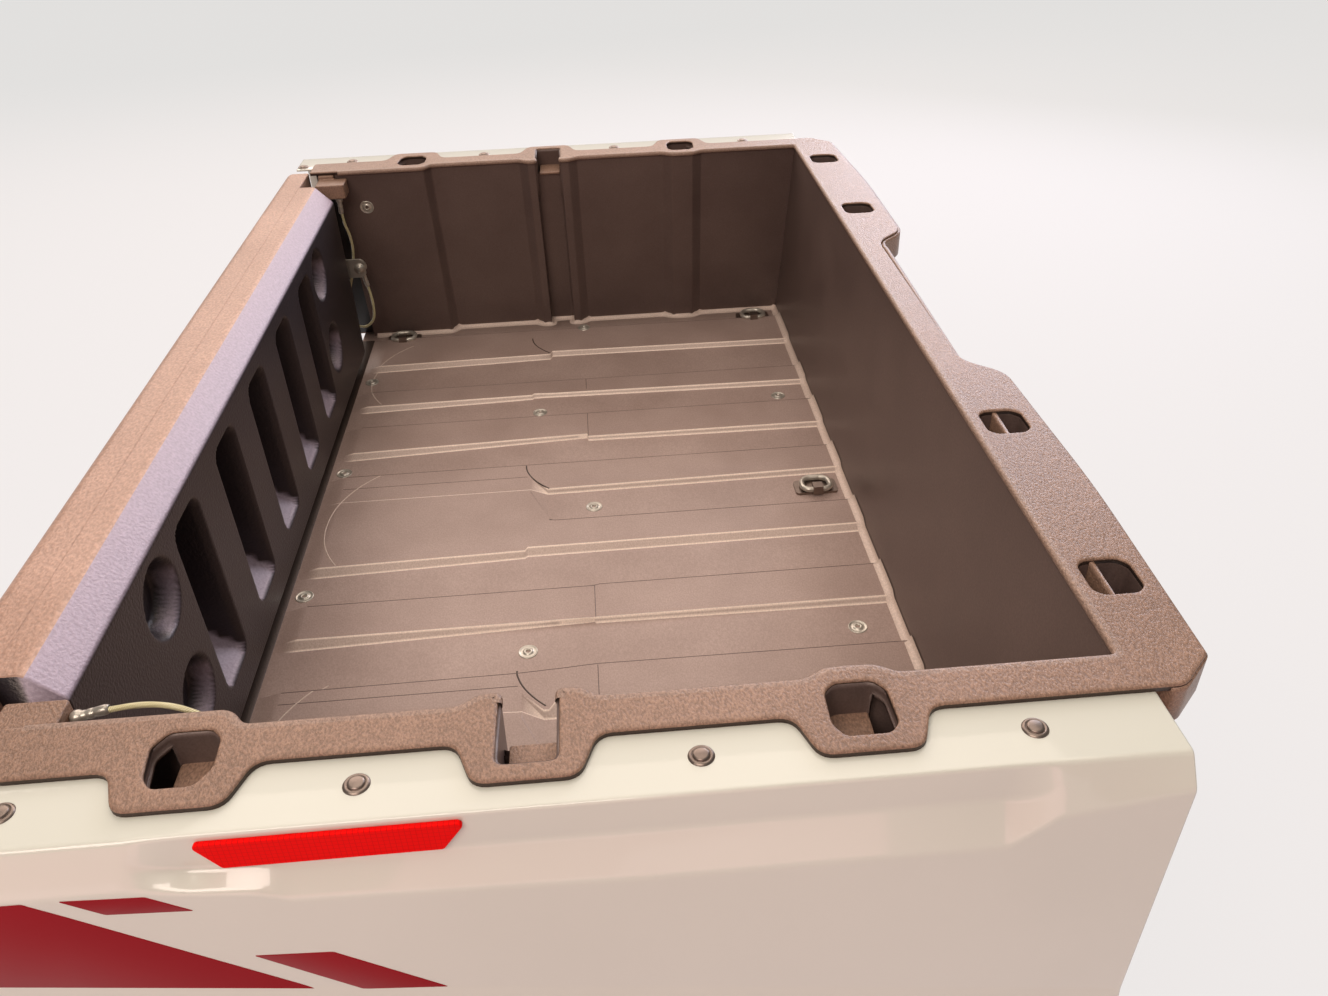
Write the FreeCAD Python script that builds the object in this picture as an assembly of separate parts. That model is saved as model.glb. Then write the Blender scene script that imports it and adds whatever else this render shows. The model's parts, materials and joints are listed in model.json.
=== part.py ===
import FreeCAD, Part
import math
import os

V = FreeCAD.Vector
os.makedirs("parts", exist_ok=True)

# Tipping cargo bed of a side-by-side utility vehicle, with its tailgate, hinge frame and lift strut.
# Millimetres. X runs forward to the cab, Y to the vehicle's left, Z up. While the pieces are drawn,
# X is 0 at the front rail's inner edge, Y is 0 on the centre line and Z is 0 at the rail's top.

# Tub
halfWidth = 545.0
bedDepth = 280.0
wallThick = 4.0
sideLean = 46.7
frontLean = 13.1
wallEnd = -667.0
floorTail = 17.0
floorMargin = 4.3
floorThick = 4.0

# Top rail with its lobes over the accessory pockets
railThick = 5.0
railWidth = 29.0
railTail = 34.0
lobeReach = 30.0
lobeHalf = 41.5
lobeTopHalf = 30.0
frontRailWidth = 54.0
frontRecessWidth = 24.0
frontRecessHalf = 178.0
frontRecessSlant = 24.0
frontHorn = 180.0
skirtDrop = 25.0
pocketWall = 3.0
pocketDepth = 45.0

# Floor ribs
ribSide = 49.0
ribValleyHalf = 33.0
ribHeight = 5.0
ribFront = -frontLean
ribTail = 6.0
ribRamp = 20.0

# Painted side panel
panelMargin = 15.0
panelStep = 13.0
panelThick = 2.5
panelFront = 10.0
panelTail = 60.0
recessFoot = 27.0
hemRear = -103.8
hemSlope = 0.1735
hemFlare = 3.0
hemHeight = 20.0
skirtThick = 4.0

# Bed frame below the floor
channelY = 300.0
channelWidth = 40.0
channelHeight = 43.0
channelFront = -20.0
crossHeight = 25.0
crossWidth = 40.0
tubeWall = 3.0

# Tilt hinge and root frame
tiltInset = 52.0
tiltDrop = 30.0
tiltRange = 45.0
tiltPinR = 8.0
pinPlay = 0.05
lugR = 18.0
lugThick = 8.0
sideGap = 1.5
frameGap = 10.0
frameTube = 40.0
frameRearGap = 25.0
frameFrontX = 0.0
footThick = 6.0
boltX = (-560.0, -40.0)
boltY = 345.0
boltHoleR = 5.5

# Lift strut, from its lower pin to its upper one
strutLowX = -530.0
strutLowDrop = 113.0
strutTopX = -440.0
strutTopDrop = 27.0
strutTubeR = 14.0
strutRodR = 6.0
strutEyeR = 12.0

# Tailgate
gateEndGap = 10.0
gateEndInset = 65.0
gateFaceStep = 3.0
gateInnerThick = 42.0
gateOuterThick = 35.0
gateTop = -5.0
gateFloorGap = 18.0
gateDrop = 20.0
gateSkin = 4.0
gateBevelX = 22.0
gateBevelZ = 23.0
gateHingeInset = 16.0
gateHingeDrop = 4.0
gateHingeY = 350.0
gatePinR = 5.0
gateLugR = 8.5
slotPitch = 123.0
slotWidth = 60.0
slotTop = -48.0
slotRise = 36.0
slotDepth = 38.0
dimpleY = 328.0
dimpleZ = (-72.0, -176.0)
dimpleR = 33.0
dimpleDepth = 25.0

# Tailgate cables
cableD = 4.0
sleeveR = 3.5
sleeveLength = 24.0
eyeR = 9.0
anchorBoltR = 5.0

# Places that follow from the sizes above
floorTop = -bedDepth
floorFoot = floorTop - floorThick
lean = sideLean / bedDepth
frontSlope = frontLean / bedDepth
floorEnd = wallEnd - floorTail
floorHalf = halfWidth + sideLean + wallThick + floorMargin
ribPitch = (halfWidth - ribSide) / 4.0
ribTopHalf = ribPitch / 2.0 - ribValleyHalf
ribRear = wallEnd + ribTail
railOuter = halfWidth + railWidth
railEnd = wallEnd - railTail
panelShoulder = railOuter + lobeReach + panelMargin
panelHalf = panelShoulder + panelStep
panelRear = wallEnd - panelTail
gateHalf = halfWidth - gateEndGap
gateInnerHalf = gateHalf - gateEndInset
gateFace = wallEnd + gateFaceStep
gateBack = gateFace - gateInnerThick
gateOuter = gateBack - gateOuterThick
gateInnerFoot = floorTop + gateFloorGap
gateFoot = floorTop - gateDrop
gateHingeX = gateBack + gateHingeInset
gateHingeZ = gateFoot - gateHingeDrop
slotFoot = gateInnerFoot + slotRise
channelFoot = floorFoot - channelHeight
tiltX = wallEnd + tiltInset
tiltZ = channelFoot - tiltDrop
frameTop = channelFoot - frameGap
frameFoot = frameTop - frameTube
footZ = frameFoot - footThick
frameRearX = tiltX + frameRearGap
strutLowZ = frameFoot - strutLowDrop
crossFoot = floorFoot - crossHeight
strutTopZ = crossFoot - strutTopDrop
origin = V(-(boltX[0] + boltX[1]) / 2.0, 0.0, -footZ)


def save(name, shape):
    placed = shape.copy()
    placed.translate(origin)
    placed.exportStep("parts/%s.step" % name)
    size = placed.BoundBox
    print("%-24s %7.1f %7.1f %7.1f" % (name, size.XLength, size.YLength, size.ZLength))


def mirrored(shape):
    return shape.mirror(V(0, 0, 0), V(0, 1, 0))


def savePair(name, shape):
    save(name + "_left", shape)
    save(name + "_right", mirrored(shape))


def onTop(z):
    return lambda u, v: V(u, v, z)


def onSide(y):
    return lambda u, v: V(u, y, v)


def onFront(x):
    return lambda u, v: V(x, u, v)


def cornerOf(before, point, after, radius):
    # the two tangent points and the middle of an arc that rounds one corner
    inward = (point - before).normalize()
    outward = (after - point).normalize()
    turn = inward.getAngle(outward)
    if radius <= 0.0 or turn < 1e-4:
        return None
    reach = radius * math.tan(turn / 2.0)
    toCentre = (outward - inward).normalize()
    middle = point + toCentre * (radius / math.cos(turn / 2.0) - radius)
    return point - inward * reach, middle, point + outward * reach


def roundedEdges(points, radii, closed):
    count = len(points)
    corners = []
    for i in range(count):
        inside = closed or 0 < i < count - 1
        corners.append(cornerOf(points[i - 1], points[i], points[(i + 1) % count], radii[i]) if inside else None)
    edges = []
    for i in range(count if closed else count - 1):
        here = corners[i]
        there = corners[(i + 1) % count]
        start = here[2] if here else points[i]
        end = there[0] if there else points[(i + 1) % count]
        if (end - start).Length > 1e-6:
            edges.append(Part.LineSegment(start, end).toShape())
        if there and (closed or i + 1 < count - 1):
            edges.append(Part.Arc(*there).toShape())
    return edges


def face(rows, place):
    # rows hold u, v and, where a corner is round, its radius
    points = [place(row[0], row[1]) for row in rows]
    radii = [row[2] if len(row) > 2 else 0.0 for row in rows]
    return Part.Face(Part.Wire(roundedEdges(points, radii, True)))


def prism(rows, place, push):
    return face(rows, place).extrude(push)


def box(x0, x1, y0, y1, z0, z1):
    return Part.makeBox(x1 - x0, y1 - y0, z1 - z0, V(x0, y0, z0))


def rectangle(u0, u1, v0, v1, radius=0.0):
    return [(u0, v0, radius), (u1, v0, radius), (u1, v1, radius), (u0, v1, radius)]


def tube(x0, x1, y0, y1, z0, z1, along):
    # a square tube that is open at the ends of the axis it runs along
    inset = {"x": (0, tubeWall, tubeWall), "y": (tubeWall, 0, tubeWall)}[along]
    over = {"x": (1, 0, 0), "y": (0, 1, 0)}[along]
    dx, dy, dz = inset
    ox, oy, oz = over
    core = box(x0 + dx - ox, x1 - dx + ox, y0 + dy - oy, y1 - dy + oy, z0 + dz - oz, z1 - dz + oz)
    return box(x0, x1, y0, y1, z0, z1).cut(core)


def offsetRows(rows, distance):
    # the same path moved to the right of its travel, with its round corners kept concentric
    moved = []
    for i, row in enumerate(rows):
        normals = []
        for a, b in ((i - 1, i), (i, i + 1)):
            if a >= 0 and b < len(rows):
                du = rows[b][0] - rows[a][0]
                dv = rows[b][1] - rows[a][1]
                length = math.hypot(du, dv)
                normals.append((dv / length, -du / length))
        nu = sum(n[0] for n in normals)
        nv = sum(n[1] for n in normals)
        scale = distance * len(normals) / (nu * nu + nv * nv)
        radius = row[2] if len(row) > 2 else 0.0
        if radius and len(normals) == 2:
            turn = normals[0][0] * normals[1][1] - normals[0][1] * normals[1][0]
            radius = max(radius + math.copysign(distance, turn), 0.0)
        moved.append((row[0] + nu * scale, row[1] + nv * scale, radius))
    return moved


def strip(rows, thickness):
    # a wall's section: its path, and the same path moved sideways by its thickness
    return list(rows) + offsetRows(rows, thickness)[::-1]


def flared(rows, top, foot):
    # a plan outline pushed down and outwards along the lean of the side walls
    slab = face(rows, onTop(0.0))
    slab.translate(V(0, -lean * top, top))
    return slab.extrude(V(0, lean * (top - foot), foot - top))


def lug(baseA, baseB, centre, radius, y, thick, holeR=0.0):
    # a plate in the XZ plane from a straight base to a round eye
    eye = V(centre[0], 0, centre[1])
    sides = []
    for base in (baseA, baseB):
        start = V(base[0], 0, base[1])
        away = start - eye
        swing = math.acos(radius / away.Length)
        heading = math.atan2(away.z, away.x)
        sides.append((start, [eye + V(math.cos(heading + s * swing), 0, math.sin(heading + s * swing)) * radius for s in (1, -1)]))
    (startA, tangentsA), (startB, tangentsB) = sides
    tangentA = max(tangentsA, key=lambda p: p.distanceToPoint(startB))
    tangentB = max(tangentsB, key=lambda p: p.distanceToPoint(startA))
    far = eye + (eye - (startA + startB) * 0.5).normalize() * radius
    edges = [
        Part.LineSegment(startA, tangentA).toShape(),
        Part.Arc(tangentA, far, tangentB).toShape(),
        Part.LineSegment(tangentB, startB).toShape(),
        Part.LineSegment(startB, startA).toShape(),
    ]
    plate = Part.Face(Part.Wire(edges))
    plate.translate(V(0, y, 0))
    solid = plate.extrude(V(0, thick, 0))
    if holeR:
        solid = solid.cut(pin(centre, holeR, y - 1.0, y + thick + 1.0))
    return solid


def pin(centre, radius, y0, y1):
    return Part.makeCylinder(radius, y1 - y0, V(centre[0], y0, centre[1]), V(0, 1, 0))


# Pilasters of a side wall. Columns: front end, rear end, ramp length, reach into the bed.
pilasters = (
    (-139.0, -195.5, 13.0, 8.5),
    (-321.0, -404.0, 12.0, 9.0),
    (-532.0, None, 10.0, 13.0),
)
slotFront = -344.5
slotRear = -381.0
channelDepth = 9.0
cornerRadius = 5.0

# Pockets in the side rail. Columns: front, rear, inner edge, outer edge, both from the rail's inside.
railPockets = ((-149.5, -188.0, 4.5, 48.0), (-540.0, -577.0, 0.4, 42.5))
centrePocketReach = 46.0
lobeX = (-168.0, -363.0, -558.0)
frontPocketInset = (281.0, 75.0)
frontPocketX = (9.0, 45.0)
pocketHalf = 18.5


def innerEdge(notch, end):
    # the inside of a side wall or rail in plan, from the front corner to its rear end
    rows = [(30.0, halfWidth)]
    for front, rear, ramp, reach in pilasters:
        inside = halfWidth - reach
        rows.append((front, halfWidth, cornerRadius))
        rows.append((front - ramp, inside, cornerRadius))
        if rear is None:
            rows.append((end, inside))
            break
        if front > slotFront > rear:
            for x, y in ((slotFront, inside), (slotFront, notch), (slotRear, notch), (slotRear, inside)):
                rows.append((x, y, cornerRadius if y == notch else 1.5))
        rows.append((rear + ramp, inside, cornerRadius))
        rows.append((rear, halfWidth, cornerRadius))
    return rows


def frontSpace(start):
    # everything ahead of the front wall's inner plane
    low = floorFoot - 36.0
    rows = [(start + frontSlope * 20.0, 20.0), (start + frontSlope * low, low), (200.0, low), (200.0, 20.0)]
    return prism(rows, onSide(-1.5 * halfWidth), V(0, 3 * halfWidth, 0))


def wallSide():
    rows = strip(innerEdge(halfWidth + channelDepth, wallEnd), wallThick)
    return flared(rows, -railThick, floorTop).cut(frontSpace(0.0))


def wallFront():
    # its ends follow the outside of the side walls
    edge = halfWidth + wallThick
    rows = []
    for side, z in ((-1, -railThick), (1, -railThick), (1, floorTop), (-1, floorTop)):
        rows.append((side * (edge - lean * z), z))
    slab = prism(rows, onFront(-frontRailWidth), V(2 * frontRailWidth, 0, 0))
    return slab.common(frontSpace(0.0)).cut(frontSpace(wallThick))


def sidePocket(front, rear, inner, outer, shelfFront, shelfRear):
    foot = -railThick - pocketDepth
    hole = rectangle(front, rear, inner, outer, 4.0)
    shell = rectangle(front + pocketWall, rear - pocketWall, inner - pocketWall, outer + pocketWall, 4.0 + pocketWall)
    liner = flared(shell, -railThick, foot).cut(flared(hole, -railThick + 1.0, foot - 1.0))
    shelf = flared(rectangle(shelfFront, shelfRear, inner, outer), foot + pocketWall, foot)
    return liner.fuse(shelf)


def railSide():
    pocketOuter = halfWidth + centrePocketReach
    rows = innerEdge(pocketOuter, railEnd)[1:]
    rows.insert(0, (0.0, halfWidth))
    rows.append((railEnd, railOuter, 3.0))
    for x in reversed(lobeX):
        for along, out in ((-lobeHalf, 0), (-lobeTopHalf, lobeReach), (lobeTopHalf, lobeReach), (lobeHalf, 0)):
            rows.append((x + along, railOuter + out, 8.0))
    rows.append((28.0, railOuter, 4.0))
    rows.append((frontRailWidth - 1.0, halfWidth + 4.0, 2.0))
    rows.append((frontRailWidth - 1.0, halfWidth))
    rail = prism(rows, onTop(-railThick), V(0, 0, railThick))
    for front, rear, innerInset, outerInset in railPockets:
        inner = halfWidth + innerInset
        outer = halfWidth + outerInset
        rail = rail.cut(prism(rectangle(front, rear, inner, outer, 6.0), onTop(-railThick - 1), V(0, 0, railThick + 2)))
        middle = (front + rear) / 2.0
        half = (middle, rear) if front > slotFront else (front, middle)
        rail = rail.fuse(sidePocket(front, rear, inner, outer, *half))
    inner = halfWidth + channelDepth + wallThick + 0.5
    foot = -railThick - pocketDepth
    shell = rectangle(slotFront + pocketWall, slotRear - pocketWall, inner, pocketOuter + pocketWall)
    hole = rectangle(slotFront, slotRear, inner - 5.0, pocketOuter)
    liner = flared(shell, -railThick, foot).cut(flared(hole, -railThick + 1.0, foot - 1.0))
    strap = flared(rectangle(lobeX[1] + 12.0, lobeX[1] - 12.0, inner, pocketOuter), foot + pocketWall, foot)
    skirt = strip([(20.0, railOuter), (28.0, railOuter, 4.0), (frontRailWidth - 1.0, halfWidth + 4.0, 2.0),
                   (frontRailWidth - 1.0, halfWidth)], skirtThick)
    apron = prism(skirt, onTop(-railThick - skirtDrop), V(0, 0, skirtDrop))
    return rail.fuse([liner, strap, apron]).removeSplitter()


def railFront():
    # the outer edge from one side rail to the other. Columns: Y, X.
    outer = ((halfWidth, frontRailWidth - 1.0), (halfWidth - frontHorn, frontRailWidth + 7.0),
             (frontRecessHalf, frontRailWidth + 4.0), (frontRecessHalf - frontRecessSlant, frontRecessWidth))
    rows = [(x, y, 6.0) for y, x in outer[1:]]
    rows = [(outer[0][1], outer[0][0])] + rows + [(x, -y, r) for x, y, r in rows[::-1]]
    rows.append((outer[0][1], -outer[0][0]))
    rail = prism(rows + [(0.0, -halfWidth), (0.0, halfWidth)], onTop(-railThick), V(0, 0, railThick))
    skirt = prism(strip(rows, skirtThick), onTop(-railThick - skirtDrop), V(0, 0, skirtDrop))
    for y in [side * (halfWidth - inset) for inset in frontPocketInset for side in (-1, 1)]:
        span = (frontPocketX[0], frontPocketX[1], y - pocketHalf, y + pocketHalf)
        grown = (span[0] - pocketWall, span[1] + pocketWall, span[2] - pocketWall, span[3] + pocketWall)
        hole = prism(rectangle(*span, 6.0), onTop(-railThick - pocketDepth - 1), V(0, 0, pocketDepth + railThick + 2))
        liner = prism(rectangle(*grown, 9.0), onTop(-railThick - pocketDepth), V(0, 0, pocketDepth))
        rail = rail.fuse(liner).cut(hole)
    return rail.fuse(skirt).removeSplitter()


def floor():
    plate = box(floorEnd, ribFront + wallThick, -floorHalf, floorHalf, floorFoot, floorTop)
    top = floorTop + ribHeight
    ramp = [(ribRear, floorTop - 1.0), (ribRear, floorTop), (ribRear + ribRamp, top), (-frontSlope * -top, top),
            (ribFront, floorTop), (ribFront, floorTop - 1.0)]
    for i in range(-4, 5):
        y = i * ribPitch
        foot = ribTopHalf + ribHeight
        section = [(y - foot, floorTop - 1.0), (y - foot, floorTop), (y - ribTopHalf, top), (y + ribTopHalf, top),
                   (y + foot, floorTop), (y + foot, floorTop - 1.0)]
        rib = prism(section, onFront(ribRear - 5.0), V(-ribRear + 20.0, 0, 0))
        plate = plate.fuse(rib.common(prism(ramp, onSide(y - ribPitch / 2.0), V(0, ribPitch, 0))))
    return plate.removeSplitter()


# Side panel stations. Columns: X, height of the crease below the recess, recessed or plain.
panelStations = (
    (panelFront, -23.0, False),
    (-66.0, -37.0, False),
    (-92.0, -59.0, True),
    (-304.0, -58.0, True),
    (-437.0, -51.5, True),
    (-496.0, -49.0, True),
    (-513.0, -41.0, True),
    (-548.0, -36.0, True),
    (-578.0, -32.0, False),
    (panelRear, -32.0, False),
)


def hemLine(x):
    # height of the paint's lower edge, falling from the rear wheel to the cab
    return hemRear - hemSlope * (x - wallEnd)


def sidePanel():
    wires = []
    for x, crease, recessed in panelStations:
        fold = (panelShoulder, -railThick - recessFoot)
        if not recessed:
            fold = ((panelShoulder + panelHalf) / 2.0, (crease - railThick) / 2.0)
        low = hemLine(x)
        rows = [(railOuter - 8.0, -railThick), (panelShoulder, -railThick), fold, (panelHalf, crease),
                (panelHalf, low), (panelHalf + hemFlare, low - hemHeight)]
        points = [V(x, u, v) for u, v, *rest in strip(rows, panelThick)]
        wires.append(Part.makePolygon(points + points[:1]))
    panel = Part.makeLoft(wires, True, True)
    for x in lobeX:
        notch = box(x - lobeTopHalf, x + lobeTopHalf, railOuter - 20.0, railOuter + lobeReach - 2.0, -20.0, 0.0)
        panel = panel.cut(notch)
    return panel


def closingPlate(x0, x1, innerOffset):
    # fills the side between the leaning wall and the painted panel
    gap = 1.0
    inner = halfWidth + innerOffset
    outer = panelHalf - panelThick - gap
    top = -railThick - panelThick - gap
    rows = [(inner - lean * top, top), (panelShoulder - 6.0, top), (panelShoulder - 6.0, -38.0), (outer, -66.0),
            (outer, floorTop + 18.0), (outer - 22.0, floorFoot), (inner - lean * floorFoot, floorFoot)]
    return prism(rows, onFront(x0), V(x1 - x0, 0, 0))


def sideSkirt():
    # the black moulded side below the paint, closed at its front
    outer = panelHalf - panelThick - 0.5
    rows = [(outer, -80.0), (outer, floorTop + 18.0), (outer - 22.0, floorFoot), (floorHalf, floorFoot)]
    side = prism(strip(rows, skirtThick), onFront(wallEnd - 26.0), V(-wallEnd + 26.0, 0, 0))
    front = closingPlate(0.0, skirtThick, wallThick + 1.0)
    return side.fuse(front).removeSplitter()


def reflector():
    z = -railThick - 4.0
    rows = [(-395.0, z, 3.0), (-544.0, z, 3.0), (-530.0, z - 21.0, 3.0), (-410.0, z - 21.0, 3.0)]
    return prism(rows, onSide(panelShoulder), V(0, 3.5, 0))


sillRear = gateHingeX + 12.0


def bedChannel():
    half = channelWidth / 2.0
    beam = tube(sillRear, channelFront, channelY - half, channelY + half, channelFoot, floorFoot, "x")
    ear = lug((tiltX - 30.0, channelFoot), (tiltX + 15.0, channelFoot), (tiltX, tiltZ), lugR,
              channelY - lugThick / 2.0, lugThick, tiltPinR + pinPlay)
    return beam.fuse(ear)


def crossMember(x0, x1, foot):
    # a folded channel in three lengths, between and outside the two long channels
    half = channelWidth / 2.0
    outerEnd = halfWidth + sideLean - 2.0
    lengths = []
    for y0, y1 in ((-outerEnd, -channelY - half), (-channelY + half, channelY - half), (channelY + half, outerEnd)):
        lengths.append(box(x0, x1, y0, y1, foot, floorFoot).cut(
            box(x0 + tubeWall, x1 - tubeWall, y0 - 1, y1 + 1, foot + tubeWall, floorFoot + 1)))
    return lengths


latchX = -40.0
latchBarR = 4.0
latchBarZ = crossFoot - 13.5


def latchPlate():
    foot = latchBarZ - 8.5
    slot = latchBarR + 2.0
    rows = [(latchX - 28.0, crossFoot), (latchX + 28.0, crossFoot), (latchX + 22.0, foot), (latchX + slot, foot, 1.5),
            (latchX + slot, latchBarZ + slot, slot - 0.2), (latchX - slot, latchBarZ + slot, slot - 0.2),
            (latchX - slot, foot, 1.5), (latchX - 22.0, foot)]
    return prism(rows, onSide(-3.0), V(0, 6, 0))


def latchStriker():
    reach = 20.0
    points = [V(latchX, -reach, frameTop), V(latchX, -reach, latchBarZ), V(latchX, reach, latchBarZ), V(latchX, reach, frameTop)]
    return sweep(points, [0, 9.0, 9.0, 0], latchBarR)


def sweep(points, radii, radius):
    path = Part.Wire(roundedEdges(points, radii, False))
    start = points[0]
    heading = points[1] - points[0]
    section = Part.Wire(Part.makeCircle(radius, start, heading))
    return path.makePipeShell([section], True, True)


def cornerPost():
    # a flared plate behind the wall's end, and a web that closes the side's rear
    plan = rectangle(wallEnd - 30.0, wallEnd, halfWidth + 3.0, halfWidth + 3.0 + wallThick)
    web = closingPlate(wallEnd - 30.0, wallEnd - 26.0, 3.0 + wallThick)
    return flared(plan, -railThick, floorTop).fuse(web).removeSplitter()


blockX = (railEnd + 11.0, wallEnd + 17.0)
blockY = gateInnerHalf + 30.0
blockTop = -10.0
blockFoot = -30.0


def cableBlock():
    # a plastic block below the rail's rear end, with a foot on the rail's underside
    inside = halfWidth - pilasters[-1][3]
    block = prism(rectangle(blockX[0], blockX[1], blockY, inside - 0.5, 3.0), onTop(blockFoot), V(0, 0, blockTop - blockFoot))
    foot = box(blockX[0], wallEnd - 1.0, inside - 4.0, inside + 12.0, blockFoot, -railThick)
    return block.fuse(foot)


# Tie-down rings on the floor. Columns: X, Y.
ringRows = ((wallEnd + 51.0, halfWidth + 11.0), (-56.0, halfWidth + 15.0))
tieDowns = [(x, side * y) for x, y in ringRows for side in (-1, 1)] + [(-52.6, 62.0)]
ringR = 3.5
ringX = 17.0
ringY = 13.0


def tieDownPlate(x, y):
    top = floorTop + 3.0
    plate = prism(rectangle(x - 26.0, x + 26.0, y - 14.0, y + 14.0, 5.0), onTop(floorTop), V(0, 0, 3.0))
    strap = box(x - 6.0, x + 6.0, y - ringY - ringR - 2.5, y - ringY + ringR + 2.5, top, top + 2 * ringR + 3.5)
    tunnel = Part.makeCylinder(ringR + 0.3, 20.0, V(x - 10.0, y - ringY, top + ringR + 0.3), V(1, 0, 0))
    return plate.fuse(strap).cut(tunnel)


def tieDownRing(x, y):
    z = floorTop + 3.0 + ringR + 0.3
    start = V(x, y - ringY, z)
    points = [start, V(x + ringX, y - ringY, z), V(x + ringX, y + ringY, z), V(x - ringX, y + ringY, z),
              V(x - ringX, y - ringY, z), start]
    edges = roundedEdges(points, [0, 9.0, 12.0, 12.0, 9.0, 0], False)
    section = Part.Wire(Part.makeCircle(ringR, start, V(1, 0, 0)))
    return Part.Wire(edges).makePipeShell([section], True, True)


gateSlots = [i * slotPitch for i in range(-2, 3)]


def slotVoid(y, grow):
    # a tall slot whose foot slopes out to the face
    half = slotWidth / 2.0 + grow
    back = gateFace - slotDepth - grow
    rows = [(gateFace + 1.0, slotTop + grow), (back, slotTop + grow), (back, slotFoot + slotDepth - grow),
            (gateFace + 1.0, slotFoot - 1.0 - grow)]
    return prism(rows, onSide(y - half), V(0, 2 * half, 0))


def dimpleVoid(y, z, grow):
    depth = dimpleDepth + grow
    return Part.makeCylinder(dimpleR + grow, depth + 1.0, V(gateFace - depth, y, z), V(1, 0, 0))


def gateInner():
    # the moulded inner half: a skin with five slots and four round dimples, open at its back
    profile = [(gateBack, gateTop), (gateFace - gateBevelX, gateTop, 4.0), (gateFace, gateTop - gateBevelZ, 4.0),
               (gateFace, gateInnerFoot, 3.0), (gateBack, gateInnerFoot)]
    block = prism(profile, onSide(-gateInnerHalf), V(0, 2 * gateInnerHalf, 0))
    hollow = [(gateBack - 1.0, gateTop - gateSkin), (gateFace - gateBevelX - 2.0, gateTop - gateSkin),
              (gateFace - gateSkin, gateTop - gateBevelZ - 2.0), (gateFace - gateSkin, gateInnerFoot + gateSkin),
              (gateBack - 1.0, gateInnerFoot + gateSkin)]
    edge = gateInnerHalf - gateSkin
    core = prism(hollow, onSide(-edge), V(0, 2 * edge, 0))
    cuts = []
    for y in gateSlots:
        core = core.cut(slotVoid(y, gateSkin))
        cuts.append(slotVoid(y, 0.0))
    for y in (-dimpleY, dimpleY):
        for z in dimpleZ:
            core = core.cut(dimpleVoid(y, z, gateSkin))
            cuts.append(dimpleVoid(y, z, 0.0))
    return block.cut([core] + cuts)


def gateOuterShell():
    # the painted outer half, open where the inner half sits on it
    profile = [(gateBack, gateTop), (gateBack, gateFoot), (gateOuter, gateFoot, 6.0), (gateOuter, gateTop, 14.0)]
    shell = prism(profile, onSide(-gateHalf), V(0, 2 * gateHalf, 0))
    inner = [(gateBack - gateSkin, gateTop - gateSkin), (gateBack - gateSkin, gateFoot + gateSkin),
             (gateOuter + gateSkin, gateFoot + gateSkin, 2.0), (gateOuter + gateSkin, gateTop - gateSkin, 10.0)]
    edge = gateHalf - gateSkin
    core = prism(inner, onSide(-edge), V(0, 2 * edge, 0))
    edge = gateInnerHalf - 2 * gateSkin
    mouth = box(gateBack - gateSkin - 1.0, gateBack + 1.0, -edge, edge, gateInnerFoot + 2 * gateSkin, gateTop - 2 * gateSkin)
    return shell.cut([core, mouth])


bracketZ = (-150.0, -122.0)
bracketY = gateInnerHalf + 35.0
bracketThick = 4.0
anchorX = gateFace + 12.0
anchorZ = -136.0
anchorHeadR = 7.5
eyeThick = 4.0
eyeGap = 2.0


def gateBracket():
    # an angle on the tailgate's end with the bolt that holds the cable's eye
    foot = box(gateBack, gateBack + bracketThick, bracketY - 22.0, bracketY + bracketThick, bracketZ[0], bracketZ[1])
    rows = [(gateBack, bracketZ[0]), (gateBack, bracketZ[1]), (anchorX + 8.0, bracketZ[1], 7.0), (anchorX + 8.0, bracketZ[0], 7.0)]
    arm = prism(rows, onSide(bracketY), V(0, bracketThick, 0))
    face0 = bracketY + bracketThick
    headFace = face0 + eyeGap + eyeThick + 0.5
    shank = pin((anchorX, anchorZ), anchorBoltR, face0, headFace)
    head = pin((anchorX, anchorZ), anchorHeadR, headFace, headFace + 4.0)
    return arm.fuse([foot, shank, head])


sillFoot = gateFoot - 22.0
gateEarThick = 8.0
gateBarrelHalf = 15.0
hingeGap = 1.0


def bedSill():
    # the rear cross member with the tailgate's hinge ears on its rear face
    lengths = crossMember(sillRear, sillRear + 24.0, sillFoot)
    ears = []
    for side in (-1, 1):
        for end in (-1, 1):
            middle = side * gateHingeY + end * (gateBarrelHalf + hingeGap + gateEarThick / 2.0)
            ears.append(lug((sillRear, sillFoot + 2.0), (sillRear, floorFoot - 2.0), (gateHingeX, gateHingeZ), gateLugR,
                            middle - gateEarThick / 2.0, gateEarThick))
        reach = gateBarrelHalf + hingeGap + 1.0
        ears.append(pin((gateHingeX, gateHingeZ), gatePinR, side * gateHingeY - reach, side * gateHingeY + reach))
    sides = [lengths[0].fuse(ears[:3]), lengths[1], lengths[2].fuse(ears[3:])]
    return Part.makeCompound(sides)


def gateLeaf():
    y = gateHingeY - gateBarrelHalf
    return lug((gateBack, gateFoot + 4.0), (gateBack, gateFoot + 28.0), (gateHingeX, gateHingeZ), gateLugR,
               y, 2 * gateBarrelHalf, gatePinR + pinPlay)


def frameRail():
    half = frameTube / 2.0
    return tube(frameRearX + frameTube, frameFrontX, channelY - half, channelY + half, frameFoot, frameTop, "x")


def hingeClevis():
    # two cheeks on the rear cross tube, and the pin on which the bed tips
    cheek = 6.0
    half = lugThick / 2.0 + sideGap
    shape = pin((tiltX, tiltZ), tiltPinR, channelY - half - cheek, channelY + half + cheek)
    for y in (channelY - half - cheek, channelY + half):
        shape = shape.fuse(lug((frameRearX, frameTop - 2.0), (frameRearX, frameFoot + 2.0), (tiltX, tiltZ), lugR, y, cheek))
    return shape


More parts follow.
